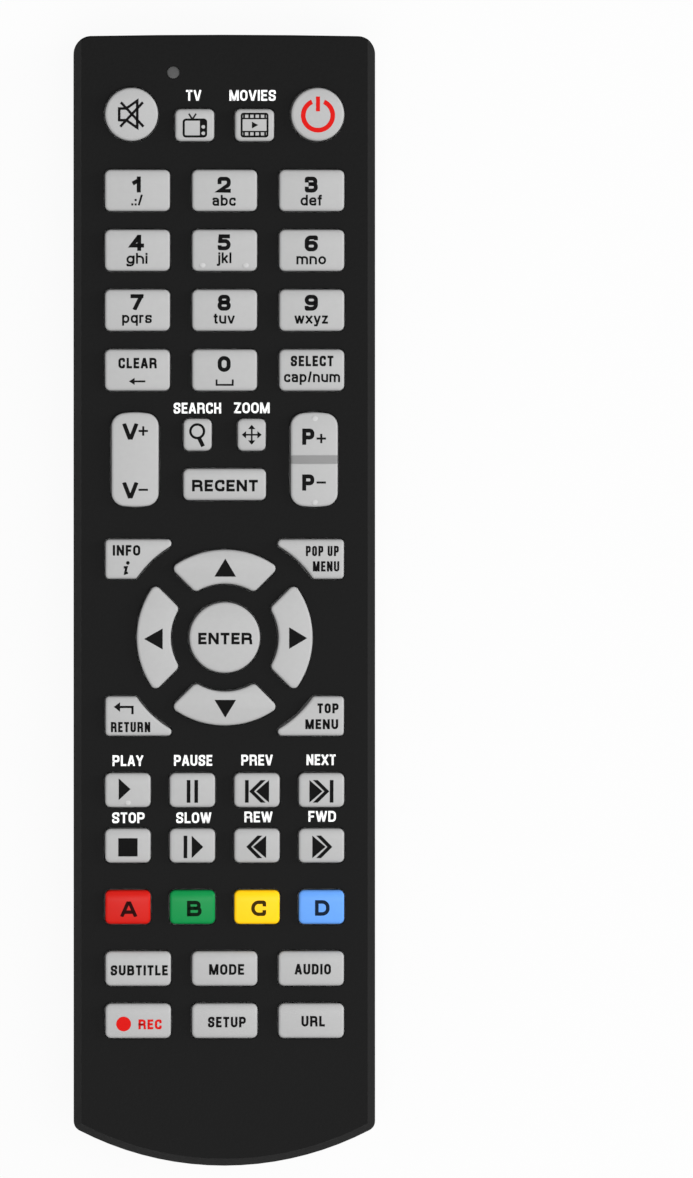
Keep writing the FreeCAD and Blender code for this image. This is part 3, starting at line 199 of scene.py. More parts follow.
def rocker(x, y, grow):
    """Straight sides, bowed ends, and a corner arc that meets both smoothly."""
    half = ROCKER_WIDTH / 2 + grow
    bow = ROCKER_END_RADIUS + grow
    radius = ROCKER_CORNER_RADIUS + grow
    centre = ROCKER_LENGTH / 2 + grow - bow
    side = half - radius
    height = sqrt((bow - radius) ** 2 - side**2)
    turn = atan2(height, side)
    points = []
    for way, start in ((1, 0), (-1, pi)):
        middle = y + way * centre
        corner_y = middle + way * height
        near, far = x + way * side, x - way * side
        points += arc_points(near, corner_y, radius, start, turn, ROCKER_CORNER_STEPS)
        points += arc_points(x, middle, bow, start + turn, pi - 2 * turn, ROCKER_END_STEPS)[1:]
        points += arc_points(far, corner_y, radius, start + pi - turn, turn, ROCKER_CORNER_STEPS)[1:]
    return points


def circle(x, y, diameter, grow):
    return arc_points(x, y, diameter / 2 + grow, 0, 2 * pi, CIRCLE_STEPS)[:-1]


# Every key: its shape and the shape's values, its middle, length along Y and corner radius
KEYS = {}


def add_key(name, shape, y, length, radius=KEY_CORNER_RADIUS, x=0.0):
    KEYS[name] = {"shape": shape, "y": y, "length": length, "radius": radius, "x": x}


def outline(key, grow):
    shape, *values = key["shape"]
    return shape(*values, grow)


def add_rows(rows, columns, heights, size):
    """A block of rectangular keys: the names in each row, and the middles of columns and rows."""
    for y, names in zip(heights, rows):
        for x, name in zip(columns, names.split()):
            add_key("key_" + name, (rectangle, x, y, *size), y, size[1], x=x)


for name, x in (("key_mute", -ROUND_X), ("key_power", ROUND_X)):
    add_key(name, (circle, x, ROUND_Y, ROUND_DIAMETER), ROUND_Y, ROUND_DIAMETER, 0, x)
add_rows(["tv movies"], (-SOURCE_X, SOURCE_X), [SOURCE_Y], SOURCE)
add_rows(DIGIT_NAMES, DIGIT_COLUMNS, [DIGIT_ROW - row * DIGIT_ROW_PITCH for row in range(4)], DIGIT)
for name, x in (("rocker_volume", -ROCKER_X), ("rocker_program", ROCKER_X)):
    add_key(name, (rocker, x, ROCKER_Y), ROCKER_Y, ROCKER_LENGTH, 0, x)
add_rows(["search zoom"], (-TOOL_X, TOOL_X), [TOOL_Y], TOOL)
add_rows(["recent"], [0], [RECENT_Y], RECENT)
for name, way_x, way_y in CORNER_KEYS:
    y = RING_Y + way_y * (CORNER_KEY_Y - CORNER_KEY_LENGTH / 2)
    x = way_x * (CORNER_KEY_X - CORNER_KEY_WIDTH / 2)
    add_key("key_" + name, (corner, way_x, way_y), y, CORNER_KEY_LENGTH, CORNER_KEY_CORNER_RADIUS, x)
for quarter, name in enumerate(("up", "left", "down", "right")):
    heights = [py for px, py in sector(quarter, 0.0)]
    add_key("key_" + name, (sector, quarter), (max(heights) + min(heights)) / 2, max(heights) - min(heights))
add_key("key_enter", (circle, 0, RING_Y, ENTER_DIAMETER), RING_Y, ENTER_DIAMETER, 0)
add_rows(PLAY_NAMES, PLAY_COLUMNS, PLAY_ROWS, PLAY)
add_rows(FOOT_NAMES, FOOT_COLUMNS, FOOT_ROWS, FOOT)


def key_height(key, y):
    """The height of a key's face: low at the foot, highest a quarter below the head, then falling."""
    share = min(max((y - key["y"]) / key["length"] + 0.5, 0.0), 1.0)
    if share < KEY_PEAK:
        rise = share / KEY_PEAK
        return KEY_LOW + (KEY_HIGH - KEY_LOW) * (rise * (1 + KEY_BEND - KEY_BEND * rise))
    return KEY_HIGH - KEY_FALL * ((share - KEY_PEAK) / (1 - KEY_PEAK)) ** 2


# Meshes, drawn in the datum
def new_object(name, data):
    made = bpy.data.objects.new(name, data)
    bpy.context.scene.collection.objects.link(made)
    return made


def new_piece(name, bm, body, made):
    """Makes a piece of a mesh that is in the row frame, and lets it ride on its body."""
    mesh = bpy.data.meshes.new(name)
    bm.to_mesh(mesh)
    bm.free()
    mesh.materials.append(made)
    piece = new_object(name, mesh)
    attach(piece, body)
    return piece


def finish_mesh(name, bm, body, made, replaced=(), sharp=38):
    """Puts a mesh drawn in the datum into the row frame, smooths it and hides the parts that it replaces."""
    bm.transform(DATUM)
    bmesh.ops.recalc_face_normals(bm, faces=bm.faces)
    piece = new_piece(name, bm, body, made)
    for polygon in piece.data.polygons:
        polygon.use_smooth = True
    piece.data.set_sharp_from_angle(angle=radians(sharp))
    if replaced:
        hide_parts(*replaced)
    return piece


def strips(bm, rings):
    """The faces between each ring and the next, which has as many corners."""
    made = []
    for lower, upper in zip(rings, rings[1:]):
        sides = zip(lower, lower[1:] + lower[:1], upper[1:] + upper[:1], upper)
        made.append([bm.faces.new(corners) for corners in sides])
    return made


def turned(bm, profile, count, place):
    """Turns a profile of radii and reaches, closes its ends and gives the faces of each strip."""
    turns = [2 * pi * step / count for step in range(count)]
    rings = []
    for radius, reach in profile:
        rings.append([bm.verts.new(place(radius * cos(turn), radius * sin(turn), reach)) for turn in turns])
    made = strips(bm, rings)
    bm.faces.new(rings[0])
    bm.faces.new(rings[-1])
    return made


def cut_across(bm, y):
    geometry = list(bm.verts) + list(bm.edges) + list(bm.faces)
    bmesh.ops.bisect_plane(bm, geom=geometry, dist=1e-6, plane_co=(0, y, 0), plane_no=(0, 1, 0))


def band_cuts(bm, heights):
    """Cuts a mesh across at even steps between the ends of a key, so that it can bend."""
    low, high = min(heights), max(heights)
    for step in range(1, TOP_BANDS):
        cut_across(bm, low + (high - low) * step / TOP_BANDS)


def key_piece(name, key, made):
    """One key: rounded edges, a face that follows key_height, and a banded key's sunken finger bar, its top
    painted darker as shade.
    """
    levels = [(0.0, BOTTOM_MARK), (0.0, -EDGE_RADIUS)]
    for step in range(1, EDGE_STEPS + 1):
        angle = pi / 2 * step / EDGE_STEPS
        levels.append((EDGE_RADIUS * (1 - cos(angle)), -EDGE_RADIUS * (1 - sin(angle))))
    bm = bmesh.new()
    rings = []
    for inset, drop in levels:
        points = outline(key, -inset)
        if key["radius"]:
            points = softened(points, max(key["radius"] - inset, LEAST_CORNER))
        rings.append([bm.verts.new((x, y, drop)) for x, y in points])
    strips(bm, rings)
    bm.faces.new(rings[-1])
    bm.faces.new(rings[0][::-1])
    band_cuts(bm, [v.co.y for v in rings[0]])
    banded = name in BANDED
    if banded:
        for edge in (-BAND_HALF - BAND_SLOPE, -BAND_HALF, BAND_HALF, BAND_HALF + BAND_SLOPE):
            cut_across(bm, key["y"] + edge)
    for v in bm.verts:
        foot = v.co.z < BOTTOM_MARK / 2
        v.co.z = KEY_FOOT if foot else v.co.z + key_height(key, v.co.y)
        if banded and not foot and abs(v.co.y - key["y"]) < BAND_HALF + CLOSE:
            v.co.z -= BAND_DEPTH
    piece = finish_mesh(name + "_face", bm, name, made, (name,))
    if banded:
        # The bar's top faces take the darker grey: painted shade in its recess
        piece.data.materials.append(BAND_PAINTED_SHADE)
        inverse = DATUM.inverted()
        for polygon in piece.data.polygons:
            middle = inverse @ polygon.center
            if abs(middle.y - key["y"]) < BAND_HALF and middle.z > 0:
                polygon.material_index = 1


# Materials
GRAIN_DETAIL = 3
GRAIN_ROUGHNESS = 0.6


def rgba(colour):
    """A colour with its alpha. A single number is a grey."""
    return (*colour, 1) if isinstance(colour, tuple) else (colour, colour, colour, 1)


def new_node(nodes, kind, **values):
    """A shader node with some of its inputs set. A _ in an input's name stands for a space."""
    made = nodes.new("ShaderNode" + kind)
    for name, value in values.items():
        made.inputs[name.replace("_", " ")].default_value = value
    return made


def material(name, colour, roughness, specular=0.5, metallic=0.0, coat=0.0):
    made = bpy.data.materials.new(name)
    made.use_nodes = True
    shader = made.node_tree.nodes["Principled BSDF"]
    for socket, value in (
        ("Base Color", rgba(colour)), ("Roughness", roughness), ("Specular IOR Level", specular),
        ("Metallic", metallic), ("Coat Weight", coat),
    ):
        shader.inputs[socket].default_value = value
    return made


def grain(made, scale, depth, strength, tint, rough=None):
    """Gives a material a fine grain: bump of a depth in mm, and a range of colour and roughness."""
    nodes, links = made.node_tree.nodes, made.node_tree.links
    shader = nodes["Principled BSDF"]
    place = nodes.new("ShaderNodeTexCoord")
    noise = new_node(nodes, "TexNoise", Scale=scale, Detail=GRAIN_DETAIL, Roughness=GRAIN_ROUGHNESS)
    links.new(place.outputs["Object"], noise.inputs["Vector"])
    bump = new_node(nodes, "Bump", Strength=strength, Distance=depth / MM_PER_M)
    links.new(noise.outputs["Fac"], bump.inputs["Height"])
    links.new(bump.outputs["Normal"], shader.inputs["Normal"])
    if tint:
        mix = nodes.new("ShaderNodeMix")
        mix.data_type = "RGBA"
        for socket, colour in zip("AB", tint):
            mix.inputs[socket].default_value = rgba(colour)
        links.new(noise.outputs["Fac"], mix.inputs["Factor"])
        links.new(mix.outputs["Result"], shader.inputs["Base Color"])
    if rough:
        spread = new_node(nodes, "MapRange", To_Min=rough[0], To_Max=rough[1])
        links.new(noise.outputs["Fac"], spread.inputs["Value"])
        links.new(spread.outputs["Result"], shader.inputs["Roughness"])
    return made


SHELL = grain(
    material("black_plastic", 0.004, 0.5, specular=0.05), 1700, 0.04, 0.9, (0.0, 0.0075), (0.38, 0.7))
RUBBER = grain(
    material("button_rubber", 0.004, 0.35, specular=0.12), 1500, 0.008, 0.4, (0.003, 0.008), (0.3, 0.42))
KEY = grain(material("key_silicone", 0.353, 0.5, specular=0.15), 900, 0.01, 0.3, (0.338, 0.368), (0.45, 0.6))
# The finger bar's darker grey is painted shade of its shallow recess
BAND_PAINTED_SHADE = grain(material("key_band", 0.198, 0.55, specular=0.15), 900, 0.01, 0.3, (0.188, 0.208))
# The pips are a lighter grey than the keys: painted highlight on the raised dots
PIP_PAINTED_HIGHLIGHT = grain(material("key_pip", 0.41, 0.5, specular=0.2), 900, 0.01, 0.3, (0.39, 0.43))
INK = material("black_ink", 0.004, 0.6, specular=0.03)
LABEL = material("white_ink", 0.85, 0.5)


def repaint(node, made):
    NODES[node].data.materials.clear()
    NODES[node].data.materials.append(made)


for node in ("front_shell", "rear_shell", "battery_cover"):
    repaint(node, SHELL)

# What shows through the eye, and under the battery cover when it is off
repaint("keypad_mat", grain(material("mat_silicone", 0.36, 0.6), 700, 0.01, 0.3, (0.33, 0.4)))
repaint("board_components", grain(
    material("package_resin", 0.02, 0.5), 3000, 0.02, 0.6, (0.012, 0.032), (0.4, 0.6)))
repaint("battery_terminals", grain(
    material("nickel_spring", 0.6, 0.3, metallic=1.0), 900, 0.01, 0.4, (0.5, 0.66), (0.2, 0.4)))
repaint("case_screws", grain(
    material("zinc_screw", 0.4, 0.35, metallic=1.0), 1400, 0.02, 0.5, (0.3, 0.46), (0.28, 0.5)))

# The board's green mask, and its tracks, which are a little lighter
MASK = (0.005, 0.032, 0.011)
TRACK = (0.010, 0.062, 0.020)
TRACK_CELL = 0.004
TRACK_SHAPE = {"Mortar_Size": 0.035, "Mortar_Smooth": 0.2, "Brick_Width": 0.9, "Row_Height": 0.3}
mask = grain(material("solder_mask", MASK, 0.25), 500, 0.01, 0.2, None, (0.2, 0.35))
nodes, links = mask.node_tree.nodes, mask.node_tree.links
colours = {"Color1": rgba(MASK), "Color2": rgba(MASK), "Mortar": rgba(TRACK)}
tracks = new_node(nodes, "TexBrick", Scale=1 / TRACK_CELL, **TRACK_SHAPE, **colours)
links.new(nodes["Texture Coordinate"].outputs["Object"], tracks.inputs["Vector"])
links.new(tracks.outputs["Color"], nodes["Principled BSDF"].inputs["Base Color"])
repaint("circuit_board", mask)


def cell_piece(name, x, way):
    """One AA cell, turned from its profile: way is 1 where its nub points to the eye end."""

    def place(across, up, reach):
        return (x + across, CELLS_Y + way * (reach - CELL_LENGTH / 2), up - CELL_DEPTH)

    bm = bmesh.new()
    turned_strips = turned(bm, CELL_PROFILE, ROUND_STEPS, place)
    for number, index in ((SLEEVE_STRIP, 1), (BAND_STRIP, 2)):
        for face in turned_strips[number]:
            face.material_index = index
    piece = finish_mesh(name, bm, "case", CAN, ("batteries",))
    piece.data.materials.append(SLEEVE)
    piece.data.materials.append(PLUS_BAND)


def crest(y):
    """How far the crest of the hump lies behind the front face."""
    share = (HALF_LENGTH - y) / BODY_LENGTH
    return CREST_DEPTH_EYE + share * (CREST_DEPTH_TAIL - CREST_DEPTH_EYE)


def sag(radius, off):
    """How far a round surface has fallen at a distance from its top."""
    return radius - sqrt(radius ** 2 - off ** 2)


def button_reach(x, y):
    """How far behind the front face the rear button's back is: a dome with a flatter crown across."""
    top = crest(BUTTON_Y) + BUTTON_PROUD
    return top - sag(BUTTON_DOME_RADIUS, y - BUTTON_Y) - sag(BUTTON_CROWN_RADIUS, x)


def rear_button():
    """The oval button behind: a domed cap with a rounded rim, its flange and its stem."""
    half = (BUTTON_WIDTH - BUTTON_LENGTH) / 2
    full = BUTTON_LENGTH / 2
    foot = crest(BUTTON_Y) - BUTTON_HIDDEN
    under = foot - BUTTON_FLANGE_THICKNESS
    bm = bmesh.new()

    def stadium_ring(radius, depth=None):
        straight = [half - 2 * half * step / BUTTON_SPANS for step in range(1, BUTTON_SPANS)]
        points = arc_points(half, BUTTON_Y, radius, -pi / 2, pi, BUTTON_STEPS)
        points += [(x, BUTTON_Y + radius) for x in straight]
        points += arc_points(-half, BUTTON_Y, radius, pi / 2, pi, BUTTON_STEPS)
        points += [(-x, BUTTON_Y - radius) for x in straight]
        return [bm.verts.new((x, y, -(depth or button_reach(x, y)))) for x, y in points]

    cap = [stadium_ring(full, foot)] + [stadium_ring(full * share) for share in BUTTON_SHARES]
    for ring, drop in zip(cap[1:], BUTTON_RIM_DROPS):
        for v in ring:
            v.co.z += drop
    rings = [stadium_ring(full + BUTTON_FLANGE, depth) for depth in (under, foot)] + cap
    strips(bm, rings)
    bm.faces.new(rings[0][::-1])
    bmesh.ops.remove_doubles(bm, verts=rings[-1], dist=BUTTON_MERGE)
    stem = ((BUTTON_STEM / 2, under), (BUTTON_STEM / 2, BUTTON_STEM_TIP))
    turned(bm, stem, STEM_STEPS, lambda across, out, depth: (across, BUTTON_Y + out, -depth))
    finish_mesh("rear_button_cap", bm, "back_button", RUBBER, ("back_button",), BUTTON_SHARP)


def emitter_piece():
    """The clear dark bulb behind the eye, turned from its profile, with its collar and two bent leads."""
    back = HALF_LENGTH - EMITTER_SETBACK - EMITTER_LENGTH
    radius = EMITTER_DIAMETER / 2
    slim = radius - EMITTER_STEP
    straight = EMITTER_LENGTH - radius
    profile = [(EMITTER_BACK_RING, 0.0), (radius, 0.0), (radius, EMITTER_COLLAR), (slim, EMITTER_COLLAR)]
    for step in range(BULB_STEPS + 1):
        angle = pi / 2 * step / BULB_STEPS
        profile.append((slim * cos(angle) + EMITTER_TIP_RING, straight + radius * sin(angle)))
    bm = bmesh.new()
    turned(bm, profile, EMITTER_STEPS, lambda across, up, reach: (across, back + reach, up - SEAM_DEPTH))
    finish_mesh("emitter_bulb", bm, "case", RESIN, ("ir_emitter",))
    top = -BOARD_DEPTH - BOARD_THICKNESS
    bm = bmesh.new()
    for x in (-LEAD_PITCH / 2, LEAD_PITCH / 2):
        made = bmesh.ops.create_cube(bm, size=1.0)
        for v in made["verts"]:
            across, out, up = v.co
            v.co = Vector((
                x + across * LEAD_SIZE,
                back + LEAD_SIZE / 2 - (0.5 - out) * (LEAD_LENGTH + LEAD_SIZE / 2),
                top + (up - 0.5) * LEAD_SIZE,
            ))
    bmesh.ops.bevel(bm, geom=list(bm.edges), offset=LEAD_EDGE, segments=2, affect="EDGES", profile=0.5)
    finish_mesh("emitter_leads", bm, "case", TINNED)


def lens_piece():
    """The indicator's light pipe, a little slimmer than its hole, so that a dark ring shows round it."""
    bm = bmesh.new()
    turned(bm, LENS_PROFILE, ROUND_STEPS, lambda across, out, height: (LENS_X + across, LENS_Y + out, height))
    finish_mesh("indicator_window", bm, "case", SMOKED, ("indicator_lens",))


# Radius and reach of each ring of a cell, from the middle of its flat end to the tip of its nub
CELL_BODY, CELL_LENGTH = 49.3, 50.5
CELL_RADIUS = 7.1
CELL_PROFILE = (
    (0.5, 0.3), (4.6, 0.3), (5.0, 0.0), (6.4, 0.0), (6.85, 0.3), (6.95, 0.9),
    (CELL_RADIUS, 0.95), (CELL_RADIUS, 37.0), (CELL_RADIUS, CELL_BODY - 0.9),
    (6.9, CELL_BODY - 0.5), (6.4, CELL_BODY - 0.1), (3.3, CELL_BODY), (2.7, CELL_BODY + 0.3),
    (2.7, CELL_LENGTH - 0.3), (2.4, CELL_LENGTH), (0.4, CELL_LENGTH),
)
SLEEVE_STRIP, BAND_STRIP = 6, 7
ROUND_STEPS = 48
CELL_X, CELLS_Y, CELL_DEPTH = 7.6, -67.5, 16.5
RESIN = grain(
    material("emitter_resin", (0.012, 0.010, 0.024), 0.12, coat=0.5),
    500, 0.003, 0.3, ((0.010, 0.008, 0.020), (0.016, 0.013, 0.034)), (0.08, 0.16),
)
CAN = grain(material("nickel_can", 0.6, 0.3, metallic=1.0), 700, 0.01, 0.4, (0.5, 0.66), (0.25, 0.4))
SLEEVE = grain(material("cell_sleeve", 0.02, 0.3), 400, 0.01, 0.3, (0.015, 0.028), (0.25, 0.4))
PLUS_BAND = grain(
    material("cell_band", (0.50, 0.25, 0.10), 0.35, metallic=0.8),
    600, 0.01, 0.3, ((0.44, 0.21, 0.08), (0.55, 0.28, 0.12)), (0.3, 0.42),
)
cell_piece("cell_left", -CELL_X, 1)
cell_piece("cell_right", CELL_X, -1)

# The rear button, whose dome is a little flatter than the solid's. Its rings are given as shares of
# its radius, and the two outermost drop to round its rim.
CREST_DEPTH_EYE, CREST_DEPTH_TAIL = 21.8, 28.8
BUTTON_Y = HALF_LENGTH - 21.1
BUTTON_WIDTH, BUTTON_LENGTH = 20.0, 9.2
BUTTON_DOME_RADIUS, BUTTON_CROWN_RADIUS = 8.6, 30.0
BUTTON_PROUD, BUTTON_HIDDEN = 1.08, 2.4
BUTTON_FLANGE, BUTTON_FLANGE_THICKNESS = 0.95, 0.8
BUTTON_SHARES = (1.0, 0.98, 0.94, 0.86, 0.74, 0.6, 0.45, 0.3, 0.15, 0.0)
BUTTON_RIM_DROPS = (0.24, 0.06)
BUTTON_MERGE = 0.001
BUTTON_SHARP = 35
BUTTON_STEM, BUTTON_STEM_TIP = 3.2, 11.7
STEM_STEPS = 24
BUTTON_STEPS, BUTTON_SPANS = 20, 8
rear_button()

# The emitter and its leads. Its bulb is slimmer than its collar, and small rings close its ends.
BOARD_DEPTH, BOARD_THICKNESS = 4.5, 1.6
SEAM_DEPTH = 7.0
EMITTER_DIAMETER, EMITTER_LENGTH, EMITTER_SETBACK = 5.0, 8.6, 2.4
EMITTER_COLLAR, EMITTER_STEP = 1.0, 0.25
EMITTER_BACK_RING, EMITTER_TIP_RING = 0.3, 0.02
EMITTER_STEPS, BULB_STEPS = 32, 8
LEAD_SIZE, LEAD_PITCH, LEAD_LENGTH = 0.5, 2.54, 4.0
LEAD_EDGE = 0.08
TINNED = grain(material("tinned_lead", 0.55, 0.35, metallic=1.0), 900, 0.01, 0.3, (0.45, 0.6), (0.3, 0.45))
emitter_piece()

LENS_X, LENS_Y = -9.5, HALF_LENGTH - 7.0
LENS_PROFILE = (
    (2.0, -2.6), (2.0, -1.8), (1.16, -1.8), (1.16, -0.36), (1.12, -0.3), (1.05, -0.28),
    (0.7, -0.265), (0.35, -0.255), (0.05, -0.25),
)
SMOKED = grain(material("smoked_lens", 0.062, 0.3, specular=0.12), 1200, 0.01, 0.4, (0.05, 0.07), (0.35, 0.5))
lens_piece()

# The coloured keys. Their ink is nearly black, with a little of the colour under it.
INK_BLACK = 0.002
INK_SHARE = 0.035
DARKER = 0.9
COLOURED = {
    "key_red": (0.50, 0.008, 0.004),
    "key_green": (0.002, 0.217, 0.051),
    "key_yellow": (0.93, 0.54, 0.006),
    "key_blue": (0.112, 0.30, 0.74),
}
DARK_INKS = {}
for name, key in KEYS.items():
    if name in COLOURED:
        colour = COLOURED[name]
        darker = tuple(DARKER * value for value in colour)
        made = material(name + "_silicone", colour, 0.5, specular=0.12)
        grain(made, 900, 0.01, 0.3, (darker, colour), (0.36, 0.5))
        key_piece(name, key, made)
        tint = tuple(INK_SHARE * value + INK_BLACK for value in colour)
        DARK_INKS[name] = material(name + "_ink", tint, 0.6, specular=0.03)
    else:
        key_piece(name, key, KEY)

# Legends, which lie this far above their key or the shell
INK_HEIGHT = 0.02
PEN_STEPS, DISC_STEPS, RING_STEPS = 8, 32, 40
NEARLY_HALF = 0.499
MITRE_LIMIT = 0.35
LETTER_GAP = 0.68

# Letters drawn with one pen, in groups of the same top and foot. Each has its width (0 for a letter
# as wide as the pen), then its strokes through points (across, up), with how round the pen turns
# there. Up is 0 on the baseline and 1 at capital height, and X is the top of the small letters.
X = 0.7
DOWN = -0.3


def loop(low, high, left=0, right=1):
    return ("closed", (left, low, 1), (right, low, 1), (right, high, 1), (left, high, 1))


BOWL = loop(0, X)
LEFT, RIGHT, CENTRE = [[(across, 0), (across, 1)] for across in (0, 1, 0.5)]
ARCH = [(0, 0.4), (0, X, 1), (1, X, 1), (1, 0)]
TALL = {
    "A": (0.62, [[(0, 0), (0.42, 1)], [(1, 0), (0.58, 1)], [(0.25, 0.25), (0.75, 0.25)]]),
    "B": (0.62, [[(0, 0), (0, 1), (0.92, 1, 0.6), (0.92, 0.52, 0.6), (0, 0.52)],
                 [(0.6, 0.52), (1, 0.52, 0.6), (1, 0, 0.6), (0, 0)]]),
    "C": (0.58, [[(1, 0.8), (1, 1, 1), (0, 1, 1), (0, 0, 1), (1, 0, 1), (1, 0.2)]]),
    "D": (0.6, [["closed", (0, 0), (1, 0, 1), (1, 1, 1), (0, 1)]]),
    "E": (0.5, [[(1, 1), (0, 1), (0, 0), (1, 0)], [(0, 0.51), (0.85, 0.51)]]),
    "F": (0.48, [[(1, 1), (0, 1), (0, 0)], [(0, 0.48), (0.85, 0.48)]]),
    "H": (0.6, [LEFT, RIGHT, [(0, 0.5), (1, 0.5)]]),
    "I": (0, [CENTRE]),
    "L": (0.48, [[(0, 1), (0, 0), (1, 0)]]),
    "M": (0.76, [LEFT, RIGHT, [(0.08, 1), (0.46, 0)], [(0.92, 1), (0.54, 0)]]),
    "N": (0.62, [LEFT, RIGHT, [(0.08, 1), (0.92, 0)]]),
    "O": (0.6, [loop(0, 1)]),
    "P": (0.6, [[(0, 0), (0, 1), (1, 1, 0.7), (1, 0.43, 0.7), (0, 0.43)]]),
    "R": (0.64, [[(0, 0), (0, 1), (0.95, 1, 0.7), (0.95, 0.47, 0.7), (0, 0.47)],
                 [(0.5, 0.47), (0.95, 0.47, 0.5), (1, 0)]]),
    "S": (0.58, [[(1, 0.78), (1, 1, 1), (0, 1, 1), (0, 0.56, 0.9), (1, 0.44, 0.9), (1, 0, 1),
                 (0, 0, 1), (0, 0.22)]]),
    "T": (0.54, [CENTRE, [(0, 1), (1, 1)]]),
    "U": (0.6, [[(0, 1), (0, 0, 1), (1, 0, 1), (1, 1)]]),
    "V": (0.62, [[(0, 1), (0.42, 0)], [(1, 1), (0.58, 0)]]),
    "W": (0.88, [[(0, 1), (0.22, 0)], [(0.48, 1), (0.28, 0)], [(0.52, 1), (0.72, 0)],
                 [(1, 1), (0.78, 0)]]),
    "X": (0.62, [[(0, 0), (1, 1)], [(0, 1), (1, 0)]]),
    "Y": (0.6, [[(0, 1), (0.5, 0.4)], [(1, 1), (0.5, 0.4)], [(0.5, 0), (0.5, 0.42)]]),
    "Z": (0.56, [[(0, 1), (1, 1)], [(0.05, 0), (0.95, 1)], [(0, 0), (1, 0)]]),
    "b": (0.54, [LEFT, BOWL]),
    "d": (0.54, [RIGHT, BOWL]),
    "f": (0.32, [[(0.45, 0), (0.45, 1, 1), (1, 1)], [(0, X), (0.95, X)]]),
    "h": (0.54, [LEFT, ARCH]),
    "i": (0, [[(0.5, 0), (0.5, X)], [(0.5, 0.99), (0.5, 1)]]),
    "k": (0.52, [LEFT, [(0.95, X), (0.1, 0.25)], [(0.4, 0.42), (0.95, 0)]]),
    "l": (0, [CENTRE]),
    ".": (0, [[(0.5, 0), (0.5, 0.01)]]),
    ":": (0, [[(0.5, 0), (0.5, 0.01)], [(0.5, 0.5), (0.5, 0.51)]]),
    "/": (0.3, [[(0, 0), (1, 1)]]),
    " ": (0.2, []),
    "0": (0.62, [loop(0, 1)]),
    "1": (0.42, [[(0.85, 0), (0.85, 1)], [(0.8, 0.86), (0, 0.66)]]),
    "2": (0.62, [[(0, 0.72), (0, 1, 1), (1, 1, 1), (1, 0.5, 0.8), (0.02, 0), (1, 0)]]),
    "3": (0.62, [[(0, 0.84), (0, 1, 1), (0.95, 1, 1), (0.95, 0.54, 0.8), (0.4, 0.54)],
                 [(0.4, 0.54), (1, 0.54, 0.8), (1, 0, 1), (0, 0, 1), (0, 0.16)]]),
    "4": (0.66, [[(0.66, 1), (0, 0.27), (1, 0.27)], [(0.72, 0), (0.72, 1)]]),
    "5": (0.62, [[(0.92, 1), (0.1, 1), (0.05, 0.62)],
                 [(0.1, 0.6), (1, 0.6, 0.9), (1, 0, 1), (0, 0, 0.8), (0, 0.08)]]),
    "6": (0.62, [[(1, 0.93), (1, 1, 0.8), (0, 1, 1), (0, 0.3)], loop(0, 0.55)]),
    "7": (0.6, [[(0, 1), (1, 1)], [(0.97, 1), (0.3, 0)]]),
    "8": (0.62, [loop(0, 0.52), loop(0.52, 1, 0.06, 0.94)]),
    "9": (0.62, [[(0, 0.07), (0, 0, 0.8), (1, 0, 1), (1, 0.7)], loop(0.45, 1)]),
}
SMALL = {
    "a": (0.52, [[(0, 0.62), (0, X, 0.8), (0.95, X, 0.8), (0.95, 0)],
                 [(0.95, 0.4), (0, 0.4, 0.6), (0, 0, 0.6), (0.95, 0)]]),
    "c": (0.5, [[(1, 0.57), (1, X, 1), (0, X, 1), (0, 0, 1), (1, 0, 1), (1, 0.13)]]),
    "e": (0.53, [[(1, 0.09), (1, 0, 1), (0, 0, 1), (0, X, 1), (1, X, 1), (1, 0.36), (0, 0.36)]]),
    "m": (0.84, [[(0, 0), (0, X)], [(0, 0.4), (0, X, 0.5), (0.5, X, 0.5), (0.5, 0)],
                 [(0.5, 0.4), (0.5, X, 0.5), (1, X, 0.5), (1, 0)]]),
    "n": (0.54, [[(0, 0), (0, X)], ARCH]),
    "o": (0.56, [BOWL]),
    "r": (0.34, [[(0, 0), (0, X)], [(0, 0.4), (0, X, 1), (0.9, X)]]),
    "s": (0.5, [[(1, 0.62), (1, X, 0.9), (0, X, 0.9), (0, 0.39, 0.7), (1, 0.31, 0.7), (1, 0, 0.9),
                 (0, 0, 0.9), (0, 0.16)]]),
    "u": (0.54, [[(0, X), (0, 0, 1), (1, 0, 1), (1, 0.3)], [(1, 0), (1, X)]]),
    "v": (0.54, [[(0, X), (0.42, 0)], [(1, X), (0.58, 0)]]),
    "w": (0.78, [[(0, X), (0.22, 0)], [(0.48, X), (0.28, 0)], [(0.52, X), (0.72, 0)],
                 [(1, X), (0.78, 0)]]),
    "x": (0.54, [[(0, 0), (1, X)], [(0, X), (1, 0)]]),
    "z": (0.48, [[(0, X), (1, X)], [(0.08, 0), (0.92, X)], [(0, 0), (1, 0)]]),
}
DEEP = {
    "g": (0.54, [BOWL, [(1, X), (1, DOWN, 1), (0, DOWN, 1), (0, -0.22)]]),
    "p": (0.54, [[(0, DOWN), (0, X)], BOWL]),
    "q": (0.54, [[(1, DOWN), (1, X)], BOWL]),
    "y": (0.54, [[(0, X), (0.46, 0)], [(1, X), (0.4, DOWN), (0.05, DOWN)]]),
}
GLYPHS = {}
for top, foot, group in ((1, 0, TALL), (X, 0, SMALL), (X, DOWN, DEEP)):
    for letter, (width, strokes) in group.items():
        GLYPHS[letter] = (width, top, foot, strokes)
GLYPHS["j"] = (0.28, 1, DOWN, [[(1, X), (1, DOWN, 1.2), (0, DOWN)], [(1, 0.99), (1, 1)]])
GLYPHS["t"] = (0.32, 0.9, 0, [[(0.45, 0.9), (0.45, 0, 0.8), (1, 0)], [(0, X), (0.95, X)]])


def beyond(start, end, reach):
    """A line's end, moved on by a reach."""
    way_x, way_y = unit(end[0] - start[0], end[1] - start[1])
    return (end[0] + way_x * reach, end[1] + way_y * reach)


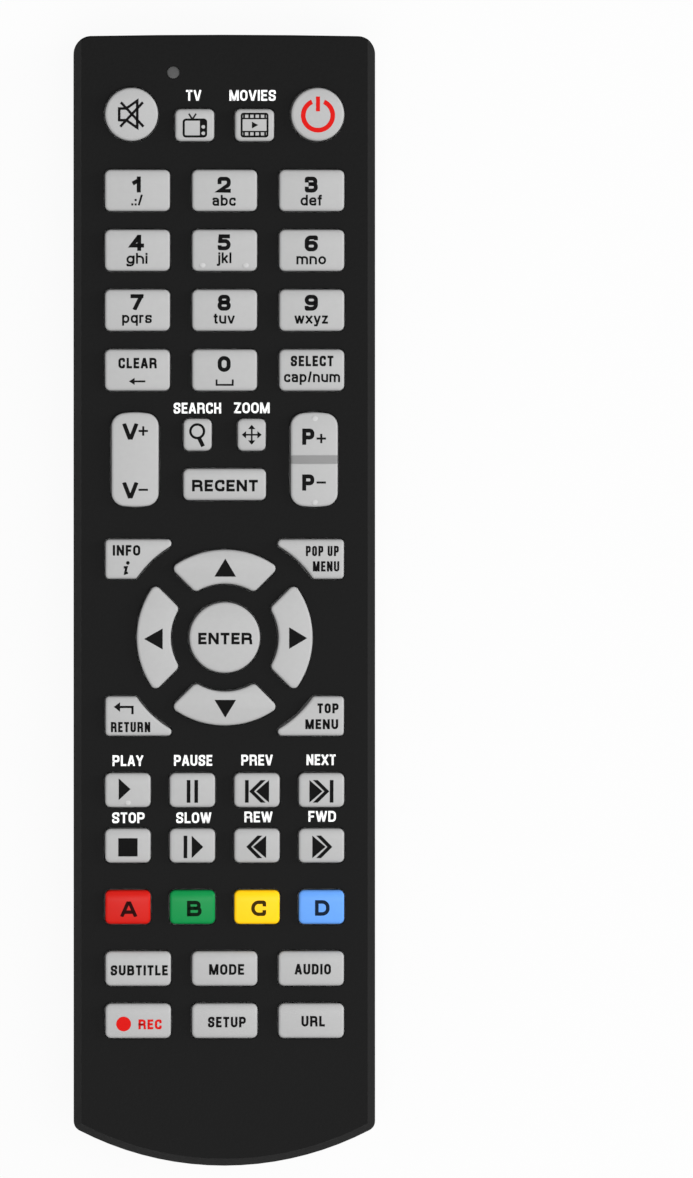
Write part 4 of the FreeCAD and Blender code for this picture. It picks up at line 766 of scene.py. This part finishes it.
def bent(points, radii, closed):
    """A path with an arc in place of each corner that has a radius."""
    result = []
    count = len(points)
    for index, here in enumerate(points):
        if not radii[index] or not closed and index in (0, count - 1):
            result.append(here)
            continue
        before, after = points[index - 1], points[(index + 1) % count]
        ways, turn = turn_at(before, here, after)
        room = NEARLY_HALF * min(dist(before, here), dist(after, here))
        radius = min(radii[index], room / tan(turn / 2))
        result += corner_arc(here, ways, turn, radius, PEN_STEPS)
    return result


def stroke_quads(points, width, closed):
    """The faces of a stroke of even width, mitred at its corners."""
    count = len(points)
    sides = []
    for index, (x, y) in enumerate(points):
        ways = []
        if index or closed:
            before = points[index - 1]
            ways.append(unit(x - before[0], y - before[1]))
        if index < count - 1 or closed:
            after = points[(index + 1) % count]
            ways.append(unit(after[0] - x, after[1] - y))
        way_x, way_y = unit(sum(w[0] for w in ways), sum(w[1] for w in ways))
        reach = width / 2 / max(MITRE_LIMIT, way_x * ways[0][0] + way_y * ways[0][1])
        sides.append(((x - way_y * reach, y + way_x * reach), (x + way_y * reach, y - way_x * reach)))
    pairs = list(zip(sides, sides[1:])) + ([(sides[-1], sides[0])] if closed else [])
    return [[a[0], a[1], b[1], b[0]] for a, b in pairs]


def clipped(points, low, high):
    """The part of a convex outline between two heights."""
    for level, way in ((low, 1), (high, -1)):
        kept = []
        for (ax, ay), (bx, by) in zip(points, points[1:] + points[:1]):
            inside_a, inside_b = way * (ay - level) >= 0, way * (by - level) >= 0
            if inside_a:
                kept.append((ax, ay))
            if inside_a != inside_b:
                share = (level - ay) / (by - ay)
                kept.append((ax + share * (bx - ax), level))
        points = kept
        if not points:
            break
    return points


class Ink:
    """Flat shapes that gather in one mesh, and are then laid on a key or on the shell."""

    def __init__(self):
        self.bm = bmesh.new()

    def face(self, points):
        self.bm.faces.new([self.bm.verts.new((x, y, 0)) for x, y in points])

    def box(self, x0, x1, y0, y1):
        self.face([(x0, y0), (x1, y0), (x1, y1), (x0, y1)])

    def centred(self, x, y, half_x, half_y):
        self.box(x - half_x, x + half_x, y - half_y, y + half_y)

    def plus(self, x, y, reach, half):
        self.centred(x, y, reach, half)
        self.box(x - half, x + half, y + half, y + reach)
        self.box(x - half, x + half, y - reach, y - half)

    def disc(self, x, y, radius):
        self.face(arc_points(x, y, radius, 0, 2 * pi, DISC_STEPS)[:-1])

    def line(self, points, width, closed=False):
        """A stroke of even width with mitred corners."""
        for quad in stroke_quads(points, width, closed):
            self.face(quad)

    def ring(self, x, y, radius, width, start=0.0, turn=2 * pi):
        outer = arc_points(x, y, radius + width / 2, start, turn, RING_STEPS)
        inner = arc_points(x, y, radius - width / 2, start, turn, RING_STEPS)
        for a, b, c, d in zip(outer, outer[1:], inner[1:], inner):
            self.face([a, b, c, d])

    def text(self, words, x, y, height, width, pen):
        """Words centred on x with their baseline at y, of a capital height, a width and a pen width."""
        gap = LETTER_GAP * pen
        shares = [GLYPHS[letter][0] for letter in words]
        fixed = sum(pen for share in shares if not share) + gap * (len(words) - 1)
        spread = (width - fixed) / max(sum(shares), 0.01)
        left = x - width / 2
        for letter, share in zip(words, shares):
            self.glyph(letter, left, y, share * spread or pen, height, pen)
            left += (share * spread or pen) + gap

    def glyph(self, letter, left, base, width, height, pen):
        """One letter drawn with an even pen, its ends squared off at its top and foot."""
        top, foot, strokes = GLYPHS[letter][1:]
        low = base + foot * (height - pen)
        high = base + pen + top * (height - pen)
        for stroke in strokes:
            closed = stroke[0] == "closed"
            points, radii = [], []
            for u, v, *bend in stroke[1:] if closed else stroke:
                points.append((left + pen / 2 + u * (width - pen), base + pen / 2 + v * (height - pen)))
                radii.append((bend or [0])[0] * (width - pen) / 2)
            points = bent(points, radii, closed)
            if not closed:
                points[0] = beyond(points[1], points[0], pen / 2)
                points[-1] = beyond(points[-2], points[-1], pen / 2)
            for quad in stroke_quads(points, pen, closed):
                quad = clipped(quad, low, high)
                if len(quad) > 2:
                    self.face(quad)

    def lay(self, name, body, made, key=None):
        """Lays the ink on a key, or without one on the shell."""
        bm = self.bm
        bmesh.ops.dissolve_degenerate(bm, dist=1e-5, edges=bm.edges)
        if key:
            band_cuts(bm, [y for x, y in outline(key, 0.0)])
        for v in bm.verts:
            v.co.z = INK_HEIGHT + (key_height(key, v.co.y) if key else 0.0)
        bmesh.ops.recalc_face_normals(bm, faces=bm.faces)
        for face in bm.faces:
            if face.normal.z < 0:
                face.normal_flip()
        bm.transform(DATUM)
        new_piece(name, bm, body, made)


# White words on the shell: words, middle, baseline and width
SHELL_WORDS = (
    ("TV", -5.75, 92.75, 2.8),
    ("MOVIES", 5.2, 92.75, 8.6),
    ("SEARCH", -5.05, 34.75, 8.8),
    ("ZOOM", 5.05, 34.8, 6.6),
    ("PLAY", -17.95, -30.65, 5.7),
    ("PAUSE", -5.85, -30.6, 7.1),
    ("PREV", 6.0, -30.55, 5.8),
    ("NEXT", 17.9, -30.5, 5.4),
    ("STOP", -17.85, -41.25, 6.0),
    ("SLOW", -5.73, -41.25, 6.5),
    ("REW", 6.27, -41.1, 5.2),
    ("FWD", 18.1, -41.0, 5.1),
)
# Words and figures on the keys: key, words, middle, baseline, capital height, width and pen
BOLD, LETTER, MEDIUM, SEMI, LIGHT = 0.74, 0.66, 0.5, 0.43, 0.37
FIGURE_HEIGHT, LETTERS_HEIGHT, LABEL_HEIGHT = 2.95, 2.0, 2.0
FIGURE_SHIFT, LETTERS_DROP = 0.1, 2.4
KEY_WORDS = [
    ("key_clear", "CLEAR", -16.15, 43.1, 1.95, 7.1, SEMI),
    ("key_select", "SELECT", 16.2, 43.5, 1.95, 7.9, SEMI),
    ("key_select", "cap/num", 16.2, 40.55, 2.0, 10.4, LIGHT),
    ("rocker_volume", "V", -17.5, 29.9, 3.0, 2.8, BOLD),
    ("rocker_volume", "V", -17.5, 19.0, 3.0, 2.8, BOLD),
    ("rocker_program", "P", 15.5, 28.95, 3.0, 2.25, BOLD),
    ("rocker_program", "P", 15.5, 20.45, 3.0, 2.25, BOLD),
    ("key_recent", "RECENT", 0.05, 20.3, 2.15, 12.2, MEDIUM),
    ("key_info", "INFO", -18.2, 8.4, 1.95, 5.1, SEMI),
    ("key_popup_menu", "POP UP", 18.1, 8.3, 1.9, 6.1, 0.38),
    ("key_popup_menu", "MENU", 18.8, 5.45, 1.9, 4.9, 0.38),
    ("key_return", "RETURN", -17.45, -24.35, 1.9, 7.3, 0.4),
    ("key_top_menu", "TOP", 19.15, -20.85, 1.85, 3.9, SEMI),
    ("key_top_menu", "MENU", 18.0, -23.8, 1.85, 6.1, SEMI),
    ("key_enter", "ENTER", 0.1, -8.05, 2.15, 10.0, MEDIUM),
    ("key_red", "A", -17.8, -58.6, 2.9, 3.0, LETTER),
    ("key_green", "B", -5.65, -58.5, 2.9, 2.7, LETTER),
    ("key_yellow", "C", 6.3, -58.45, 2.9, 2.75, LETTER),
    ("key_blue", "D", 18.1, -58.4, 2.9, 2.7, LETTER),
    ("key_subtitle", "SUBTITLE", -15.85, -69.45, 1.9, 10.6, SEMI),
    ("key_mode", "MODE", 0.35, -69.35, 2.0, 6.5, SEMI),
    ("key_audio", "AUDIO", 16.35, -69.3, 1.98, 6.7, SEMI),
    ("key_setup", "SETUP", 0.4, -79.1, 1.98, 7.0, SEMI),
    ("key_web", "URL", 16.4, -78.95, 1.98, 4.35, SEMI),
]

# Digits with their letters: digit, letters, width of each, and the digit's foot above the middle
FIGURES = (
    ("1", ".:/", 1.7, 2.1, -0.4),
    ("2", "abc", 2.45, 4.3, -0.45),
    ("3", "def", 2.4, 3.95, -0.4),
    ("4", "ghi", 2.6, 3.9, -0.1),
    ("5", "jkl", 2.4, 2.7, 0.0),
    ("6", "mno", 2.45, 5.5, -0.2),
    ("7", "pqrs", 2.4, 5.5, 0.0),
    ("8", "tuv", 2.45, 3.9, -0.1),
    ("9", "wxyz", 2.45, 6.2, -0.1),
    ("0", "", 2.4, 0, -0.35),
)
for figure, letters, wide, letters_wide, base in FIGURES:
    name = "key_" + figure
    x, y = KEYS[name]["x"] - FIGURE_SHIFT, KEYS[name]["y"] + base
    KEY_WORDS.append((name, figure, x, y, FIGURE_HEIGHT, wide, BOLD))
    if letters:
        KEY_WORDS.append((name, letters, x, y - LETTERS_DROP, LETTERS_HEIGHT, letters_wide, LIGHT))

inks = {}


def ink(name):
    return inks.setdefault(name, Ink())


def moved(x, y, *points):
    return [(x + u, y + v) for u, v in points]


for name, *placed in KEY_WORDS:
    ink(name).text(*placed)

# Mute: a speaker struck through, twice
MUTE_PEN = 0.48
mute = ink("key_mute")
speaker = ((-2.3, 1.05), (-1.0, 1.05), (1.05, 2.5), (1.05, -2.5), (-1.0, -1.1), (-2.3, -1.1))
mute.line(moved(-ROUND_X, ROUND_Y, *speaker), MUTE_PEN, True)
mute.line(moved(-ROUND_X, ROUND_Y, (-2.0, 2.2), (2.2, -2.3)), MUTE_PEN)
mute.line(moved(-ROUND_X, ROUND_Y, (2.1, 2.2), (-2.1, -2.3)), MUTE_PEN)

# Source keys: a television set with two knobs, and a strip of film
TV_CORNER, TV_PEN, ANTENNA_PEN = 0.45, 0.4, 0.3
KNOB_HALF, KNOB_CUT = 0.34, 0.22
FILM_CORNER, FILM_PEN = 0.35, 0.36
HOLE_PITCH, HOLE_HALF = 0.98, (0.17, 0.4)
tv = ink("key_tv")
x, y = -SOURCE_X, SOURCE_Y
cabinet = moved(x, y, (-2.05, -2.1), (2.1, -2.1), (2.1, 1.0), (-2.05, 1.0))
tv.line(bent(cabinet, [TV_CORNER] * 4, True), TV_PEN, True)
for left, right, low, high in (
    (0.95, 1.25, -1.95, 0.85), (1.25, 1.95, -0.02, 0.9), (1.25, 1.95, -1.2, -0.65), (1.25, 1.95, -2.1, -1.85),
):
    tv.box(x + left, x + right, y + low, y + high)
for knob_y in (-0.33, -1.52):
    for side, way_x in ((1.25, 1), (1.95, -1)):
        for way_y in (1, -1):
            top = knob_y + way_y * KNOB_HALF
            tv.face(moved(x, y, (side, top), (side + way_x * KNOB_CUT, top), (side, top - way_y * KNOB_CUT)))
tv.line(moved(x, y, (-1.1, 2.1), (-0.45, 1.05), (0.25, 2.1)), ANTENNA_PEN)
film = ink("key_movies")
x, y = SOURCE_X, SOURCE_Y
film_edge = moved(x, y, (-2.4, -2.1), (2.4, -2.1), (2.4, 2.1), (-2.4, 2.1))
film.line(bent(film_edge, [FILM_CORNER] * 4, True), FILM_PEN, True)
for way in (1, -1):
    film.centred(x, y + way * 1.2, 2.3, 0.13)
    for step in range(-2, 3):
        film.centred(x + step * HOLE_PITCH, y + way * 1.65, *HOLE_HALF)
film.face(moved(x, y, (-0.5, 0.62), (-0.5, -0.62), (0.68, 0)))

# Power: a broken ring and a bar
POWER_RADIUS, POWER_PEN, POWER_GAP = 2.74, 0.86, radians(24)
power = Ink()
x, y = ROUND_X + 0.05, ROUND_Y - 0.2
power.ring(x, y, POWER_RADIUS, POWER_PEN, pi / 2 + POWER_GAP, 2 * pi - 2 * POWER_GAP)
power.box(x - 0.37, x + 0.37, y + 0.75, y + 3.5)

# Clear's arrow and the space sign
THIN_PEN = 0.34
ink("key_clear").line([(-17.2, 40.7), (-14.7, 40.7)], THIN_PEN)
ink("key_clear").face([(-17.75, 40.7), (-16.7, 41.35), (-16.7, 40.05)])
x, y = KEYS["key_0"]["x"], KEYS["key_0"]["y"]
ink("key_0").line(moved(x, y, (-1.5, -1.75), (-1.5, -2.75), (1.5, -2.75), (1.5, -1.75)), THIN_PEN)

# Rockers: the plus and minus signs
PLUS_REACH, PLUS_HALF = 0.87, 0.19
for name, x, plus_y, minus_y in (("rocker_volume", -15.1, 31.5, 20.6), ("rocker_program", 17.9, 30.1, 21.95)):
    ink(name).plus(x, plus_y, PLUS_REACH, PLUS_HALF)
    ink(name).centred(x, minus_y, PLUS_REACH, PLUS_HALF)

# Search, zoom and info
SEARCH_RADIUS, SEARCH_PEN = 1.26, 0.46
ZOOM_REACH, ZOOM_HALF = 1.3, 0.15
INFO_PEN, INFO_DOT = 0.44, 0.34
ink("key_search").ring(-5.1, 31.45, SEARCH_RADIUS, SEARCH_PEN)
ink("key_search").line([(-4.75, 30.2), (-4.0, 28.65)], BOLD)
zoom = ink("key_zoom")
zoom.plus(TOOL_X, TOOL_Y, ZOOM_REACH, ZOOM_HALF)
for turn in range(4):
    c, d = cos(pi / 2 * turn), sin(pi / 2 * turn)
    head = [(c * u - d * v, d * u + c * v) for u, v in ((1.85, 0), (1.05, 0.68), (1.05, -0.68))]
    zoom.face(moved(TOOL_X, TOOL_Y, *head))
ink("key_info").line([(-18.72, 6.2), (-18.2, 6.25), (-18.45, 5.1), (-17.95, 5.25)], INFO_PEN)
ink("key_info").disc(-17.95, 7.05, INFO_DOT)

# The ring's arrows and return's bent arrow
RETURN_PEN = 0.42
ink("key_up").face([(-1.9, 4.5), (2.1, 4.5), (0.1, 7.85)])
ink("key_down").face([(-1.9, -18.35), (0.1, -21.65), (2.1, -18.35)])
ink("key_left").face([(-14.95, -7.05), (-11.5, -9.0), (-11.5, -5.1)])
ink("key_right").face([(15.3, -6.9), (11.95, -8.9), (11.95, -4.9)])
ink("key_return").line([(-17.1, -21.0), (-17.1, -19.65), (-19.7, -19.65)], RETURN_PEN)
ink("key_return").face([(-20.55, -19.65), (-19.4, -18.75), (-19.4, -20.55)])

# Transport signs, each with its middle a little below its key's. Their x is measured from there.
HALF_SIGN, HALF_PAUSE, HALF_BAR = 2.1, 2.12, 0.34
SIGN_DROP = 0.22
CHEVRON_WIDTH = 0.92


def sign_middle(name):
    return KEYS[name]["x"], KEYS[name]["y"] - SIGN_DROP


def bar(name, bar_x, half=HALF_SIGN):
    """An upright bar."""
    x, y = sign_middle(name)
    ink(name).centred(x + bar_x, y, HALF_BAR, half)


def triangle(name, base_x, tip_x):
    """A filled triangle, from its upright side to its tip."""
    ink(name).face(moved(*sign_middle(name), (base_x, -HALF_SIGN), (tip_x, 0), (base_x, HALF_SIGN)))


def chevron(name, arm_x, tip_x):
    """An angle bracket: the outer side of its arms and its tip, both on the side it points to."""
    x, y = sign_middle(name)
    thick = CHEVRON_WIDTH if arm_x > tip_x else -CHEVRON_WIDTH
    for way in (1, -1):
        arm = ((arm_x, way * HALF_SIGN), (tip_x, 0), (tip_x + thick, 0), (arm_x + thick, way * HALF_SIGN))
        ink(name).face(moved(x, y, *arm))


ink("key_play").face([(-19.66, -32.9), (-19.66, -36.95), (-17.45, -34.9)])
bar("key_pause", -0.72, HALF_PAUSE)
bar("key_pause", 0.7, HALF_PAUSE)
bar("key_previous", -1.88)
chevron("key_previous", 0.69, -1.45)
triangle("key_previous", 2.24, -0.18)
bar("key_next", 1.88)
chevron("key_next", -0.69, 1.45)
triangle("key_next", -2.24, 0.18)
x, y = KEYS["key_stop"]["x"], KEYS["key_stop"]["y"]
ink("key_stop").box(x - 1.79, x + 1.79, y - 1.99, y + 1.41)
bar("key_slow", -1.3)
triangle("key_slow", -0.14, 2.0)
chevron("key_rewind", 0.07, -2.0)
triangle("key_rewind", 1.7, -0.76)
chevron("key_forward", -0.07, 2.0)
triangle("key_forward", -1.7, 0.76)

# Red ink, for the power sign and for record
RED_INK = material("red_ink", (0.52, 0.007, 0.005), 0.6, specular=0.05)
record = Ink()
record.disc(-18.75, -78.45, 1.38)
record.text("REC", -13.85, -79.45, 1.85, 4.3, SEMI)

for name, drawn in inks.items():
    drawn.lay("legend_" + name, name, DARK_INKS.get(name, INK), KEYS[name])
power.lay("legend_key_power", "key_power", RED_INK, KEYS["key_power"])
record.lay("legend_key_record", "key_record", RED_INK, KEYS["key_record"])
labels = Ink()
for words, x, y, width in SHELL_WORDS:
    labels.text(words, x, y, LABEL_HEIGHT, width, LIGHT)
labels.lay("shell_labels", "case", LABEL)

# Raised dots that fingers feel for, a lighter grey than their keys as painted highlight
PIP_RADIUS, PIP_HEIGHT = 0.55, 0.12
PIPS = (
    ("key_5", -4.1, 62.3),
    ("key_5", 3.9, 62.3),
    ("rocker_program", 16.7, 33.8),
    ("rocker_program", 16.7, 18.3),
    ("key_play", -17.95, -37.35),
)
for number, (name, x, y) in enumerate(PIPS):
    bm = bmesh.new()
    bmesh.ops.create_uvsphere(bm, u_segments=24, v_segments=12, radius=1.0)
    for v in bm.verts:
        height = key_height(KEYS[name], y) + v.co.z * PIP_HEIGHT
        v.co = Vector((x + v.co.x * PIP_RADIUS, y + v.co.y * PIP_RADIUS, height))
    finish_mesh("pip_%d" % number, bm, name, PIP_PAINTED_HIGHLIGHT)

# Stage, light and camera
FLOOR_HALF = 6.0
floor_mesh = bpy.data.meshes.new("floor")
floor_corners = [(FLOOR_HALF * x, FLOOR_HALF * y, 0) for x, y in ((-1, -1), (1, -1), (1, 1), (-1, 1))]
floor_mesh.from_pydata(floor_corners, [], [(0, 1, 2, 3)])
floor = new_object("floor", floor_mesh)
FLOOR = material("pale_floor", 0.55, 0.9, specular=0.0)
floor_mesh.materials.append(FLOOR)

# The camera sees the floor and the world nearly white; the rays that light the object don't.
VEIL = 0.93
WORLD_LIGHT = 0.5


def whitened(tree, dull, output, share):
    """Mixes white into a shader for the rays that see it, and leaves the rest of its light as it is."""
    nodes, links = tree.nodes, tree.links
    path = nodes.new("ShaderNodeLightPath")
    seen = path.outputs["Is Camera Ray"]
    for ray in ("Is Glossy Ray", "Is Transmission Ray"):
        either = nodes.new("ShaderNodeMath")
        either.operation = "MAXIMUM"
        links.new(seen, either.inputs[0])
        links.new(path.outputs[ray], either.inputs[1])
        seen = either.outputs["Value"]
    part = nodes.new("ShaderNodeMath")
    part.operation = "MULTIPLY"
    part.inputs[1].default_value = share
    links.new(seen, part.inputs[0])
    white = new_node(nodes, "Emission", Strength=1.0, Color=rgba(1.0))
    mix = nodes.new("ShaderNodeMixShader")
    links.new(part.outputs["Value"], mix.inputs["Fac"])
    links.new(dull, mix.inputs[1])
    links.new(white.outputs["Emission"], mix.inputs[2])
    links.new(mix.outputs["Shader"], output.inputs["Surface"])


nodes = FLOOR.node_tree.nodes
whitened(FLOOR.node_tree, nodes["Principled BSDF"].outputs["BSDF"], nodes["Material Output"], VEIL)

world = bpy.data.worlds.new("studio")
bpy.context.scene.world = world
world.use_nodes = True
nodes = world.node_tree.nodes
nodes["Background"].inputs["Color"].default_value = rgba(1.0)
nodes["Background"].inputs["Strength"].default_value = WORLD_LIGHT
whitened(world.node_tree, nodes["Background"].outputs["Background"], nodes["World Output"], 1.0)


def area_light(name, position, width, height, watts):
    """A soft light that faces the middle of the remote."""
    data = bpy.data.lights.new(name, "AREA")
    data.shape = "RECTANGLE"
    data.size, data.size_y, data.energy = width, height, watts
    light = new_object(name, data)
    light.location = position
    light.rotation_euler = (-Vector(position)).to_track_quat("-Z", "Y").to_euler()


area_light("key_light", (0.2, -0.25, 1.9), 1.2, 1.0, 30)
area_light("side_light", (1.6, 0.3, 0.5), 0.5, 1.6, 24)

PHOTO_HEIGHT = 1178
PIXELS_PER_MM = 5.389
DISTANCE = 2.5
VIEW_TILT = radians(0.5)
VIEW_YAW = radians(1.2)
SENSOR = 36.0
AIM = (22.62, 2.19, 0.0)

camera_data = bpy.data.cameras.new("camera")
camera = new_object("camera", camera_data)
bpy.context.scene.camera = camera
camera_data.sensor_width = SENSOR
camera_data.lens = SENSOR * DISTANCE * MM_PER_M / (PHOTO_HEIGHT / PIXELS_PER_MM)
camera_data.clip_start = 0.05
camera_data.clip_end = 50
lean = asin(lift.y) + VIEW_TILT
aim = DATUM @ Vector(AIM)
back = Vector((-sin(VIEW_YAW), cos(VIEW_YAW) * sin(lean), cos(VIEW_YAW) * cos(lean)))
camera.location = aim + DISTANCE * back
right = along.cross(back).normalized()
camera.rotation_euler = Matrix((right, back.cross(right), back)).transposed().to_euler()

bpy.context.scene.view_settings.view_transform = "Standard"
